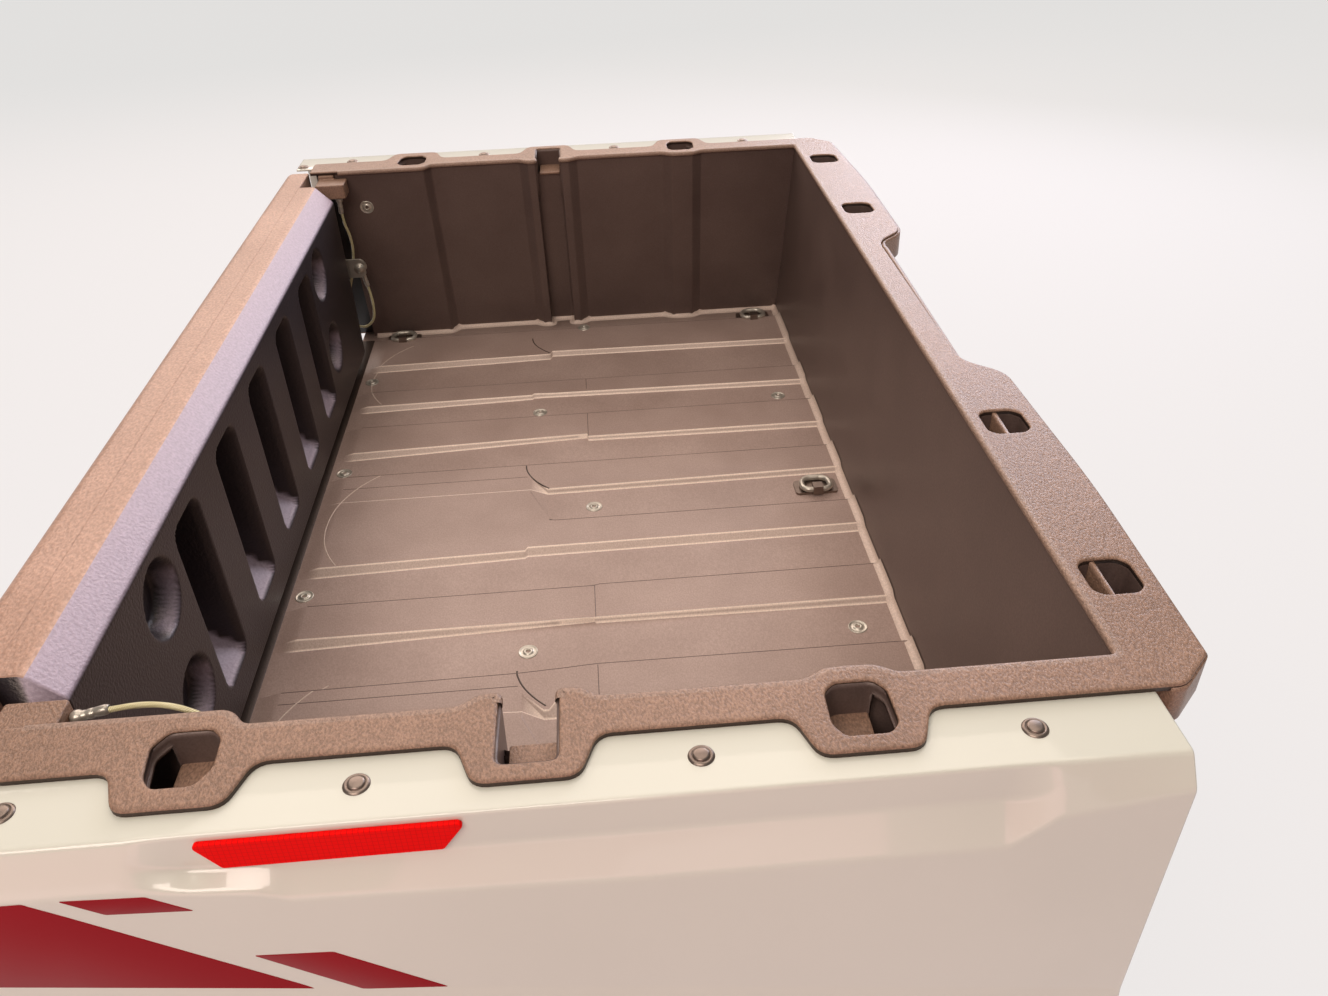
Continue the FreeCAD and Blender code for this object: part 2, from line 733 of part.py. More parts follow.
def frameFoot4():
    feet = []
    for x in boltX:
        for side in (-1, 1):
            inner = side * (channelY - frameTube / 2.0)
            outer = side * (boltY + 25.0)
            plate = prism(rectangle(x - 35.0, x + 35.0, min(inner, outer), max(inner, outer), 8.0),
                          onTop(footZ), V(0, 0, footThick))
            feet.append(plate.cut(Part.makeCylinder(boltHoleR, footThick + 2.0, V(x, side * boltY, footZ - 1.0))))
    return Part.makeCompound(feet)


def restPads():
    pads = []
    for side in (-1, 1):
        y = side * channelY
        pads.append(prism(rectangle(-100.0, -60.0, y - 14.0, y + 14.0, 4.0), onTop(frameTop), V(0, 0, frameGap - 0.3)))
    return Part.makeCompound(pads)


strutEyeHalf = strutTubeR + 0.5
strutCheek = 6.0
rodEyeHalf = 10.0


def strutBracket():
    # two cheeks below the rear cross tube, with the strut's lower pin
    low = (strutLowX, strutLowZ)
    cheeks = []
    for y in (strutEyeHalf + sideGap, -strutEyeHalf - sideGap - strutCheek):
        cheeks.append(lug((frameRearX, frameFoot), (frameRearX + frameTube, frameFoot), low, 14.0, y, strutCheek))
    return pin(low, strutRodR, -strutEyeHalf - sideGap - 2.0, strutEyeHalf + sideGap + 2.0).fuse(cheeks)


def strutYoke():
    # two ears below the middle cross member, each with its bolt's head, for the rod's eye
    top = (strutTopX, strutTopZ)
    ears = []
    for side in (-1, 1):
        inner = side * (rodEyeHalf + sideGap)
        outer = side * (rodEyeHalf + sideGap + 5.0)
        ear = lug((strutTopX - 18.0, crossFoot), (strutTopX + 18.0, crossFoot), top, 12.0, min(inner, outer), 5.0)
        ears.append(ear.fuse(pin(top, 8.0, min(outer, outer + side * 5.0), max(outer, outer + side * 5.0))))
    return Part.makeCompound(ears)


strutRun = V(strutTopX - strutLowX, 0, strutTopZ - strutLowZ)
strutLength = strutRun.Length
raised = V(tiltX - strutLowX, 0, tiltZ - strutLowZ) + FreeCAD.Rotation(V(0, -1, 0), tiltRange).multVec(
    V(strutTopX - tiltX, 0, strutTopZ - tiltZ))
strutStroke = raised.Length - strutLength
strutWay = V(strutRun).normalize()
strutLow = V(strutLowX, 0, strutLowZ)
tubeEnd = strutLength - strutEyeR - 16.0
rodTail = tubeEnd - 18.0 - strutStroke


def along(distance):
    return strutLow + strutWay * distance


def strutCylinder():
    eye = pin((strutLowX, strutLowZ), strutEyeR, -strutEyeHalf, strutEyeHalf)
    neck = Part.makeCylinder(8.0, 24.0, strutLow, strutWay)
    body = Part.makeCylinder(strutTubeR, tubeEnd - 20.0, along(20.0), strutWay)
    bore = Part.makeCylinder(strutRodR + pinPlay, tubeEnd - rodTail + 4.0, along(rodTail - 3.0), strutWay)
    return eye.fuse([neck, body]).cut([bore, pin((strutLowX, strutLowZ), strutRodR + pinPlay, -strutEyeHalf - 5.0, strutEyeHalf + 5.0)])


def strutRod():
    rod = Part.makeCylinder(strutRodR, strutLength - rodTail, along(rodTail), strutWay)
    return rod.fuse(pin((strutTopX, strutTopZ), 11.0, -rodEyeHalf, rodEyeHalf))


# Cable routes from the block under the rail to the tailgate's bolt. Columns: X from the bolt, Y out from the
# bracket's arm, Z from the bolt.
leftRoute = (
    (-10.0, 7.0, 105.2),
    (-12.0, 8.0, 72.0),
    (-7.0, 14.0, 46.0),
    (-8.0, 20.0, 18.0),
    (-18.0, 23.0, -18.0),
    (-30.0, 23.0, -52.0),
    (-37.0, 19.0, -74.0),
    (-32.0, 16.0, -94.0),
    (-13.0, 12.0, -101.0),
    (4.0, 9.0, -88.0),
    (8.0, 8.0, -64.0),
    (6.0, 8.0, -36.0),
    (1.2, 8.0, -8.1),
)
rightRoute = (
    (2.8, 3.0, 116.0),
    (40.0, 0.0, 123.0),
    (76.0, 6.0, 121.0),
    (103.0, 13.0, 101.0),
    (114.0, 16.0, 70.0),
    (107.0, 17.0, 30.0),
    (80.0, 16.0, -16.0),
    (40.0, 10.0, -42.0),
    (5.1, 8.0, -6.4),
)


def cable(name, side, route):
    points = [V(anchorX + x, side * (bracketY + y), anchorZ + z) for x, y, z in route]
    radii = [0.0]
    for before, here, after in zip(points, points[1:], points[2:]):
        turn = (here - before).getAngle(after - here)
        run = min((here - before).Length, (after - here).Length)
        radii.append(0.45 * run / math.tan(turn / 2.0))
    radii.append(0.0)
    edges = roundedEdges(points, radii, False)
    length = sum(edge.Length for edge in edges)
    rope = sweep(points, radii, cableD / 2.0)
    solid = math.pi * cableD * cableD / 4.0 * length
    print("%s: length %.1f, arc radii %s, volume %.4f of section by length"
          % (name, length, [round(r, 1) for r in radii[1:-1]], rope.Volume / solid))
    ends = []
    for end, inner in ((points[0], points[1]), (points[-1], points[-2])):
        ends.append(Part.makeCylinder(sleeveR, sleeveLength, end, inner - end))
    y = side * (bracketY + bracketThick + eyeGap)
    y0 = min(y, y + side * eyeThick)
    ring = pin((anchorX, anchorZ), eyeR, y0, y0 + eyeThick)
    hole = pin((anchorX, anchorZ), anchorBoltR + pinPlay, y0 - 1.0, y0 + eyeThick + 1.0)
    return rope.fuse(ends + [ring]).cut(hole)


savePair("wall", wallSide())
save("wall_front", wallFront())
savePair("rail", railSide())
save("rail_front", railFront())
save("bed_floor", floor())
savePair("side_panel", sidePanel())
savePair("side_skirt", sideSkirt())
savePair("reflector", reflector())
savePair("corner_post", cornerPost())
savePair("cable_block", cableBlock())
save("tie_down_plates", Part.makeCompound([tieDownPlate(x, y) for x, y in tieDowns]))
save("tie_down_rings", Part.makeCompound([tieDownRing(x, y) for x, y in tieDowns]))
savePair("bed_channel", bedChannel())
for name, x in (("bed_cross_front", latchX), ("bed_cross_middle", strutTopX)):
    save(name, Part.makeCompound(crossMember(x - crossWidth / 2.0, x + crossWidth / 2.0, crossFoot)))
save("strut_yoke", strutYoke())
save("bed_sill", bedSill())
save("bed_latch", latchPlate())

save("tailgate_inner", gateInner())
save("tailgate_outer", gateOuterShell())
savePair("tailgate_leaf", gateLeaf())
savePair("tailgate_bracket", gateBracket())
save("tailgate_cable_left", cable("tailgate_cable_left", 1, leftRoute))
save("tailgate_cable_right", cable("tailgate_cable_right", -1, rightRoute))

savePair("frame_rail", frameRail())
for name, rear, half in (("frame_cross_rear", frameRearX, channelY + crossWidth),
                         ("frame_cross_front", latchX - frameTube / 2.0, channelY - frameTube / 2.0)):
    save(name, tube(rear, rear + frameTube, -half, half, frameFoot, frameTop, "y"))
save("frame_feet", frameFoot4())
savePair("hinge_clevis", hingeClevis())
save("rest_pads", restPads())
save("latch_striker", latchStriker())
save("strut_bracket", strutBracket())
save("strut_cylinder", strutCylinder())
save("strut_rod", strutRod())
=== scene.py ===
import json
import math
from functools import partial
import bmesh
import bpy
import numpy as np
from mathutils import Matrix, Vector
from mathutils.geometry import delaunay_2d_cdt

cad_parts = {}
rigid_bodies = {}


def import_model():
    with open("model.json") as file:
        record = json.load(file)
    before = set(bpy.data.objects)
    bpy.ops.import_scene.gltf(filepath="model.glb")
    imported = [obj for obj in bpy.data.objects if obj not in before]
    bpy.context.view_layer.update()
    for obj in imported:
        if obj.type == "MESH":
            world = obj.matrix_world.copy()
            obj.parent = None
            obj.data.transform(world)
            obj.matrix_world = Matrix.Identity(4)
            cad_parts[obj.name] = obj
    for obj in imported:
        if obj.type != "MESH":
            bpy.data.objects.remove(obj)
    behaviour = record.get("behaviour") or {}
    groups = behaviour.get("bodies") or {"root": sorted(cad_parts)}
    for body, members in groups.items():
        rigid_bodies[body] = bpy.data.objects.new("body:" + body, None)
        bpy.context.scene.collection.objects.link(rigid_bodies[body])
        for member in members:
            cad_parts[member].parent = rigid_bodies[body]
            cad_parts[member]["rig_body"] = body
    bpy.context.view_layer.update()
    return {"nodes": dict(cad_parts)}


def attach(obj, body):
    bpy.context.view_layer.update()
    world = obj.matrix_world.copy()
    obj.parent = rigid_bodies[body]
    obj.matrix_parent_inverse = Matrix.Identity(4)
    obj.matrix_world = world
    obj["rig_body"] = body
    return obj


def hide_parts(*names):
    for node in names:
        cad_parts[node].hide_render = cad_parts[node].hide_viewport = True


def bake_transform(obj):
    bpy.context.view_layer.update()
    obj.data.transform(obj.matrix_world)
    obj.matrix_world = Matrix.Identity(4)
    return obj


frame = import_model()
print("frame loaded")

# The bed is drawn in millimetres from the front rail's inner edge, the centre line and the rail's top. Its side and
# front walls lean in by their tilt for each millimetre down.
drawn = {"shift": (300.0, 0.0, 383.0), "tilt": 46.7 / 280.0, "frontTilt": 13.1 / 280.0}
sides = (("left", 1.0), ("right", -1.0))


def toFrame(points):
    # drawing millimetres to the model's metres
    return (np.asarray(points, float) + drawn["shift"]) / 1000.0


def toDrawing(points):
    # the model's metres to drawing millimetres
    return np.array(points) * 1000.0 - drawn["shift"]


def addObject(name, data):
    # a new object in the scene, at the origin
    made = bpy.data.objects.new(name, data)
    bpy.context.scene.collection.objects.link(made)
    return made


# camera at the photograph's place
camera = addObject("camera", bpy.data.cameras.new("camera"))
camera.data.lens = 28.44
camera.data.sensor_width = 36.0
camera.data.clip_start = 0.02
# rows: the camera's right, up and back
turn = Matrix(((0.99628, -0.08085, -0.02976), (0.07041, 0.56499, 0.82209), (-0.04966, -0.82113, 0.56858)))
camera.matrix_world = Matrix.Translation((-0.0046, -0.9968, 0.8367)) @ turn.transposed().to_4x4()
bpy.context.scene.camera = camera


# materials
def linear(hexColour):
    # an sRGB hex value as linear RGBA
    parts = [int(hexColour[i:i + 2], 16) / 255.0 for i in (1, 3, 5)]
    return [c / 12.92 if c <= 0.04045 else ((c + 0.055) / 1.055) ** 2.4 for c in parts] + [1.0]


def addNode(owner, kind, inputs=None, bands=(), **settings):
    # one shader node: plain values go on its sockets, (node, output) pairs become links, and bands are a ramp's
    # positions and hex colours
    node = owner.node_tree.nodes.new("ShaderNode" + kind)
    for name, value in settings.items():
        setattr(node, name, value)
    for name, value in (inputs or {}).items():
        if isinstance(value, tuple) and isinstance(value[0], bpy.types.Node):
            owner.node_tree.links.new(value[0].outputs[value[1]], node.inputs[name])
        else:
            node.inputs[name].default_value = value
    for k, (position, colour) in enumerate(bands):
        element = node.color_ramp.elements[k]
        element.position, element.color = position, linear(colour)
    return node


def emptied(owner):
    # a material or world with nothing in its node tree yet
    owner.use_nodes = True
    owner.node_tree.nodes.clear()
    return owner


def newMaterial(name):
    # the material, the function that adds a node to it, and its coordinates
    material = emptied(bpy.data.materials.new(name))
    add = partial(addNode, material)
    return material, add, add("TexCoord")


def finishMaterial(material, inputs):
    # its shader and output
    shader = addNode(material, "BsdfPrincipled", inputs)
    addNode(material, "OutputMaterial", {"Surface": (shader, 0)})
    return material


def mouldedPlastic(name, look):
    # moulded polypropylene: a dull sheen, broken up by an etched leather grain whose creases run one way
    material, add, place = newMaterial(name)
    lay = add("Mapping", {
        "Vector": (place, "Object"), "Rotation": (0.0, 0.0, math.radians(look["lay"])),
        "Scale": (1.0, look["stretch"], 1.0)})
    cloud = add("TexNoise", {"Vector": (place, "Object"), "Scale": 9.0, "Detail": 3.0})  # blotches near 110 mm
    colour = add("ValToRGB", {"Fac": (cloud, "Fac")}, ((0.3, look["dark"]), (0.7, look["light"])))
    creases = add("TexNoise", {"Vector": (lay, "Vector"), "Scale": 1000.0 / look["grain"], "Detail": 3.0})
    # the look's pale colour, mixed in by the piece's share of it: a painted highlight
    highlightShare = add("Attribute", attribute_name="rubbed")
    rubbed = add("Mix", {0: (highlightShare, "Fac"), 6: (colour, "Color"), 7: linear(look["rubbed"])}, data_type="RGBA")
    pale = add("MapRange", {
        "Value": (creases, "Fac"), 1: 0.35, 2: 0.7, 3: 1.0 - look["contrast"], 4: 1.0 + look["contrast"]})
    shade = add("Mix", {0: 1.0, 6: (rubbed, 2), 7: (pale, "Result")}, data_type="RGBA", blend_type="MULTIPLY")
    bump = add("Bump", {
        "Strength": look["bump"], "Distance": look["depth"] / 1000.0, "Height": (creases, "Fac")})
    sheen = add("MapRange", {"Value": (cloud, "Fac"), 3: look["rough"][0], 4: look["rough"][1]})
    return finishMaterial(material, {
        "Base Color": (shade, 2), "Roughness": (sheen, "Result"), "IOR": 1.49, "Specular IOR Level": 0.6,
        "Specular Tint": linear("#FFEFE6"), "Normal": (bump, "Normal")})


# Polypropylene, etched: coarse on the rails and the tailgate, finer where the load slides. Each look's pale third
# colour is a painted highlight, mixed in by each piece's share of it. The grain and the bump's depth are in
# millimetres, the lay in degrees.
# the rails' brown is paler than the walls' as painted sheen on the same dark plastic; the skirts, cable blocks, apron
# and plates take it too
railLook = {"dark": "#876A58", "light": "#987966", "rubbed": "#A08C80", "grain": 1.3, "lay": 38.0, "stretch": 0.55,
            "bump": 0.9, "depth": 0.7, "contrast": 0.3, "rough": (0.36, 0.44)}
tubLook = {"dark": "#5A4A45", "light": "#66554F", "rubbed": "#DCC6B4", "grain": 1.4, "lay": 12.0, "stretch": 0.6,
           "bump": 0.4, "depth": 0.3, "contrast": 0.12, "rough": (0.36, 0.44)}
gateLook = {"dark": "#201D22", "light": "#28242A", "rubbed": "#B9A9B8", "grain": 2.6, "lay": 0.0, "stretch": 1.0,
            "bump": 0.7, "depth": 0.8, "contrast": 0.12, "rough": (0.36, 0.42)}
railGrain = mouldedPlastic("polypropylene_coarse_grain", railLook)
# a dark copy of the rail's plastic as painted shade: on the rail's sides and pocket rims, the floor's curls and the
# gap below the tailgate
paintedShadeGrain = mouldedPlastic("polypropylene_edge_in_shade", {
    **railLook, "dark": "#33261F", "light": "#3C2D26", "bump": 0.5, "depth": 0.3, "contrast": 0.2,
    "rough": (0.5, 0.6)})
tubGrain = mouldedPlastic("polypropylene_fine_grain", tubLook)
# the floor: the walls' dark plastic painted paler as the sheen its top catches, with a still paler painted highlight
floorGrain = mouldedPlastic("polypropylene_floor_painted_sheen", {
    **tubLook, "dark": "#968076", "light": "#A69086", "rubbed": "#EAD6C6"})
gateGrain = mouldedPlastic("polypropylene_gate_grain", gateLook)
# the tailgate's top lip and outer panel: the gate's dark plastic painted pale brown as sheen
lipGrain = mouldedPlastic("polypropylene_gate_lip_painted_sheen", {
    **gateLook, "dark": "#A98572", "light": "#B99583", "rubbed": "#C9A593", "grain": 2.2, "lay": 20.0,
    "stretch": 0.6, "contrast": 0.2})


def glossPaint(name, hexLow, hexHigh, rough, coat):
    # painted ABS or vinyl under a clear coat: deep gloss with a trace of orange peel
    material, add, place = newMaterial(name)
    peel = add("TexNoise", {"Vector": (place, "Object"), "Scale": 260.0, "Detail": 1.0})  # orange peel near 4 mm
    tone = add("TexNoise", {"Vector": (place, "Object"), "Scale": 4.0})  # slow changes over 250 mm
    colour = add("ValToRGB", {"Fac": (tone, "Fac")}, ((0.3, hexLow), (0.7, hexHigh)))
    bump = add("Bump", {"Strength": 0.04, "Distance": 0.0003, "Height": (peel, "Fac")})
    return finishMaterial(material, {
        "Base Color": (colour, "Color"), "Roughness": rough, "IOR": 1.5, "Coat Weight": coat,
        "Specular IOR Level": 0.5 * coat, "Coat Roughness": 0.04, "Coat Normal": (bump, "Normal"),
        "Normal": (bump, "Normal")})


sagePaint = glossPaint("abs_lacquered_sage", "#D5D5C8", "#DBDBCE", 0.3, 0.9)
maroonVinyl = glossPaint("vinyl_maroon_gloss", "#8C0F1A", "#98141F", 0.35, 0.12)


def coatedSteel(name, hexLow, hexHigh, metallic, rough, grainMm, bumpStrength):
    # steel under powder, zinc or chrome, and plain rubber: a fine even texture with slow changes in gloss
    material, add, place = newMaterial(name)
    blotch = add("TexNoise", {"Vector": (place, "Object"), "Scale": 35.0, "Detail": 4.0})  # blotches near 30 mm
    speck = add("TexNoise", {"Vector": (place, "Object"), "Scale": 1000.0 / grainMm, "Detail": 2.0})
    colour = add("ValToRGB", {"Fac": (blotch, "Fac")}, ((0.3, hexLow), (0.7, hexHigh)))
    gloss = add("MapRange", {"Value": (blotch, "Fac"), 3: rough[0], 4: rough[1]})
    bump = add("Bump", {"Strength": bumpStrength, "Distance": 0.0004, "Height": (speck, "Fac")})
    return finishMaterial(material, {
        "Base Color": (colour, "Color"), "Metallic": metallic, "Roughness": (gloss, "Result"),
        "Normal": (bump, "Normal")})


powderSteel = coatedSteel("steel_black_powder_coat", "#1B1A1A", "#232120", 0.0, (0.3, 0.42), 1.2, 0.25)
zincSteel = coatedSteel("steel_zinc_plated", "#A8A196", "#CFC8BA", 0.6, (0.24, 0.36), 0.8, 0.12)
bronzeRivet = coatedSteel("rivet_anodised_brown", "#7F7168", "#93857B", 0.9, (0.3, 0.42), 0.8, 0.1)
chromeSteel = coatedSteel("steel_hard_chrome", "#C9CACC", "#D6D7D9", 1.0, (0.08, 0.13), 2.0, 0.02)
padRubber = coatedSteel("rubber_rest_pad", "#161616", "#1E1D1D", 0.0, (0.7, 0.8), 1.5, 0.3)


def prismRed():
    # a reflex lens: clear red acrylic over a hexagonal field of cube corners
    material, add, place = newMaterial("acrylic_red_reflex")
    cells = add("TexVoronoi", {
        "Vector": (place, "Object"), "Scale": 330.0, "Randomness": 0.0}, feature="DISTANCE_TO_EDGE")  # 3 mm prisms
    colour = add("ValToRGB", {"Fac": (cells, "Distance")}, ((0.02, "#D80202"), (0.12, "#FF0502")))
    bump = add("Bump", {"Strength": 0.6, "Distance": 0.0006, "Height": (cells, "Distance")})
    return finishMaterial(material, {
        "Base Color": (colour, "Color"), "Roughness": 0.55, "IOR": 1.49, "Specular IOR Level": 0.08,
        "Normal": (bump, "Normal")})


def strandedCable():
    # wire rope under clear vinyl: strands on the lay, seen through a yellowed skin
    material, add, place = newMaterial("wire_rope_clear_vinyl")
    # bands 1.6 mm apart along the rope, as its strands cross it
    wave = add("TexWave", {"Vector": (place, "UV"), "Scale": 3.0}, bands_direction="DIAGONAL")
    colour = add("ValToRGB", {"Fac": (wave, "Fac")}, ((0.1, "#A89A62"), (0.8, "#E6DFB4")))
    bump = add("Bump", {"Strength": 0.35, "Distance": 0.0005, "Height": (wave, "Fac")})
    return finishMaterial(material, {
        "Base Color": (colour, "Color"), "Roughness": 0.28, "IOR": 1.53, "Coat Weight": 0.6,
        "Coat Roughness": 0.1, "Normal": (bump, "Normal")})


lensRed = prismRed()
cableVinyl = strandedCable()
print("materials made")


# meshes
def gridFaces(rows, columns, closed=False, start=0):
    # quads between neighbouring points of a rows x columns grid, wrapped where its columns close
    i = np.arange(rows - 1)[:, None]
    j = np.arange(columns if closed else columns - 1)[None, :]
    nextJ = (j + 1) % columns
    quads = np.stack([i * columns + j, (i + 1) * columns + j, (i + 1) * columns + nextJ, i * columns + nextJ], -1)
    return (quads.reshape(-1, 4) + start).tolist()


def newPiece(name, points, faces, body, material, replaced=(), recalc=False, merge=False):
    # points are drawing millimetres, shape (..., 3); faces None means the points' own grid
    faces = gridFaces(*points.shape[:2]) if faces is None else faces
    mesh = bpy.data.meshes.new(name)
    mesh.from_pydata(toFrame(np.reshape(points, (-1, 3))).tolist(), [], faces)
    if recalc or merge:
        work = bmesh.new()
        work.from_mesh(mesh)
        bmesh.ops.remove_doubles(work, verts=work.verts, dist=1e-6)
        if recalc:
            bmesh.ops.recalc_face_normals(work, faces=work.faces)
        work.to_mesh(mesh)
        work.free()
    mesh.polygons.foreach_set("use_smooth", [True] * len(mesh.polygons))
    mesh.materials.append(material)
    piece = addObject(name, mesh)
    if body:
        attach(piece, body)
    if replaced:
        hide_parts(*replaced)
    return piece


def thicken(piece, thickness, offset):
    # a wall in millimetres: outwards from the surface for 1, inwards for -1
    wall = piece.modifiers.new("solidify", "SOLIDIFY")
    wall.thickness, wall.offset = thickness / 1000.0, offset


def mouldedCopy(node, suffix, material, radius, segments=2, reshape=None):
    # the frame's own shape with its facets joined and every edge sharper than 30 degrees rounded
    source = frame["nodes"][node]
    work = bmesh.new()
    work.from_mesh(source.data)
    bmesh.ops.remove_doubles(work, verts=work.verts, dist=2e-5)
    bmesh.ops.dissolve_limit(work, angle_limit=math.radians(0.6), verts=work.verts, edges=work.edges,
                             delimit={"NORMAL"})
    if reshape:
        reshape(work)
    work.verts.index_update()
    points = toDrawing([vertex.co for vertex in work.verts])
    faces = [[vertex.index for vertex in face.verts] for face in work.faces]
    work.free()
    piece = newPiece(node + suffix, points, faces, source["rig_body"], material, (node,))
    bevel = piece.modifiers.new("bevel", "BEVEL")
    bevel.width, bevel.segments = radius / 1000.0, segments
    bevel.limit_method, bevel.angle_limit = "ANGLE", math.radians(30.0)
    bevel.harden_normals = bevel.use_clamp_overlap = True


# tailgate cables
cables = {
    "diameter": 4.0,
    "turns": 0.30,  # of a strand, per millimetre of cable
    "rings": 420,
    "spokes": 24,
    "eye": (-652.0, 511.0, -136.0),  # its seat on the left bracket's bolt
    "blend": (-50.0, -135.0),  # heights for a cable's stretch as the tailgate drops; read below into a start and an end that nothing uses
    "left": ((-662.0, 512.0, -30.8), (-664.0, 513.0, -64.0), (-659.0, 519.0, -90.0), (-660.0, 525.0, -118.0),
             (-670.0, 528.0, -154.0), (-682.0, 528.0, -188.0), (-689.0, 524.0, -210.0), (-684.0, 521.0, -230.0),
             (-665.0, 517.0, -237.0), (-648.0, 514.0, -224.0), (-644.0, 513.0, -200.0), (-646.0, 513.0, -172.0),
             (-650.8, 513.0, -144.1)),
    "right": ((-649.2, -508.0, -20.0), (-612.0, -505.0, -13.0), (-576.0, -511.0, -15.0), (-549.0, -518.0, -35.0),
              (-538.0, -521.0, -66.0), (-545.0, -522.0, -106.0), (-572.0, -521.0, -152.0),
              (-612.0, -515.0, -178.0), (-646.9, -513.0, -142.4)),
    # swages as turned profiles of (radius, height)
    "sleeve": ((0.01, 0.0), (2.6, 0.0), (3.4, 0.8), (3.4, 9.0), (2.9, 10.0), (3.4, 11.0), (3.4, 14.0), (2.9, 15.0),
               (3.4, 16.0), (3.4, 22.0), (2.6, 24.0), (2.0, 24.2)),
    "ball": ((0.01, -4.6), (2.2, -4.2), (4.0, -2.8), (4.9, -0.4), (4.6, 2.0), (3.2, 4.2), (2.4, 5.4), (2.4, 8.0)),
    "ring": ((5.06, 0.3), (5.4, 0.0), (8.4, 0.0), (9.0, 0.6), (9.0, 3.4), (8.4, 4.0), (5.4, 4.0), (5.06, 3.7),
             (5.06, 0.3)),
}


def splineLine(points):
    # the smooth line of the cable, read from a NURBS spline through its control points
    curve = bpy.data.curves.new("cable_line", "CURVE")
    curve.dimensions = "3D"
    spline = curve.splines.new("NURBS")
    spline.points.add(len(points) - 1)
    for point, place in zip(spline.points, toFrame(points)):
        point.co = (*place, 1.0)
    spline.order_u = 3
    spline.use_endpoint_u = True
    spline.resolution_u = 24
    holder = bpy.data.objects.new("cable_line", curve)
    line = bpy.data.meshes.new_from_object(holder)
    places = np.array([v.co for v in line.vertices])
    bpy.data.objects.remove(holder)
    bpy.data.meshes.remove(line)
    return places


def sidesAlong(line):
    # two steady side directions at each point, carried forward without twist
    tangent = np.gradient(line, axis=0)
    tangent /= np.linalg.norm(tangent, axis=1)[:, None]
    side = np.zeros_like(line)
    side[0] = np.cross(tangent[0], (0.3, 0.2, 0.93))
    for k in range(1, len(line)):
        side[k] = side[k - 1] - tangent[k] * np.dot(side[k - 1], tangent[k])
    side /= np.linalg.norm(side, axis=1)[:, None]
    return side, np.cross(tangent, side)


def cableTube(name, points):
    # radius = half the diameter, with six shallow strand ridges that turn as they go
    line = splineLine(points)
    steps = np.linalg.norm(np.diff(line, axis=0), axis=1)
    length = np.concatenate([[0.0], np.cumsum(steps)])
    rings, spokes = cables["rings"], cables["spokes"]
    even = np.linspace(0.0, length[-1], rings)
    line = np.stack([np.interp(even, length, line[:, k]) for k in range(3)], 1)
    side, other = sidesAlong(line)
    around = np.linspace(0.0, 2 * math.pi, spokes, endpoint=False)
    lay = around[None, :] * 6 + even[:, None] * 1000.0 * cables["turns"]
    radius = cables["diameter"] / 2000.0 * (1.0 - 0.05 * (1 - np.cos(lay)))
    tube = line[:, None] + radius[..., None] * (
        np.cos(around)[:, None] * side[:, None] + np.sin(around)[:, None] * other[:, None])
    faces = gridFaces(rings, spokes, closed=True)
    faces.append(list(range(spokes))[::-1])
    faces.append([(rings - 1) * spokes + k for k in range(spokes)])
    piece = newPiece(name, toDrawing(tube), faces, None, cableVinyl, recalc=True)
    layer = piece.data.uv_layers.new(name="along")
    index = np.array([loop.vertex_index for loop in piece.data.loops])
    layer.data.foreach_set("uv", np.stack([index % spokes / spokes, index // spokes * 0.1], 1).ravel())
    return piece, line, even[-1]


def turnedPieces(name, rows, body, material, count=32):
    # several turned shapes as one piece: each row's profile of (radius, height) about its axis through its centre
    points, faces, start = [], [], 0
    angle = np.linspace(0.0, 2 * math.pi, count, endpoint=False)
    for profile, centre, axis in rows:
        axis = np.array(axis, float) / np.linalg.norm(axis)
        side = np.cross(axis, (0.31, 0.77, 0.55))
        side /= np.linalg.norm(side)
        spokes = np.cos(angle)[:, None] * side + np.sin(angle)[:, None] * np.cross(axis, side)
        radius, height = np.array(profile, float).T[..., None, None]
        points.append((np.array(centre, float) + radius * spokes + height * axis).reshape(-1, 3))
        faces += gridFaces(len(profile), count, closed=True, start=start)
        start += len(profile) * count
    return newPiece(name, np.concatenate(points), faces, body, material, recalc=True)


for sideName, side in sides:
    name = "tailgate_cable_" + sideName
    route = np.array(cables[sideName])
    piece, line, length = cableTube(name + "_rope", route)
    out, back = route[1] - route[0], route[-2] - route[-1]
    eyeX, eyeY, eyeZ = cables["eye"]
    swages = turnedPieces(name + "_swages", [
        (cables["sleeve"], route[0], out), (cables["sleeve"], route[-1], back),
        (cables["ball"], route[0] + 3.5 * out / np.linalg.norm(out), out),
        (cables["ring"], (eyeX, side * eyeY, eyeZ), (0.0, side, 0.0))], None, zincSteel)
    high, low = cables["blend"]
    start, end = tuple(toFrame((route[0, 0], route[0, 1], high))), tuple(toFrame((eyeX, route[-1, 1], low)))
    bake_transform(piece)
    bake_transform(swages)
    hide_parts(name)
print("cables made")


# the front wall, skirts and the steel below: the frame's shapes with rounded edges
roundedNodes = (
    # finish, edge radius, nodes
    (tubGrain, 0.8, "wall_front"),
    (railGrain, 1.0, "side_skirt_left side_skirt_right"),
    (powderSteel, 0.8, "corner_post_left corner_post_right"),
    (railGrain, 2.0, "cable_block_left cable_block_right"),
    (bronzeRivet, 0.6, "tie_down_plates"),
    (powderSteel, 1.0, "bed_channel_left bed_channel_right bed_cross_front bed_cross_middle"),
    (powderSteel, 0.6, "strut_yoke bed_latch tailgate_leaf_left tailgate_leaf_right"),
    (zincSteel, 0.5, "tailgate_bracket_left tailgate_bracket_right"),
    (powderSteel, 1.2, "frame_rail_left frame_rail_right frame_cross_rear frame_cross_front"),
    (powderSteel, 0.6, "hinge_clevis_left hinge_clevis_right strut_bracket"),
    (powderSteel, 0.8, "bed_sill frame_feet strut_cylinder"),
    (padRubber, 1.0, "rest_pads"),
)
for finish, radius, nodes in roundedNodes:
    for node in nodes.split():
        mouldedCopy(node, "_body", finish, radius)
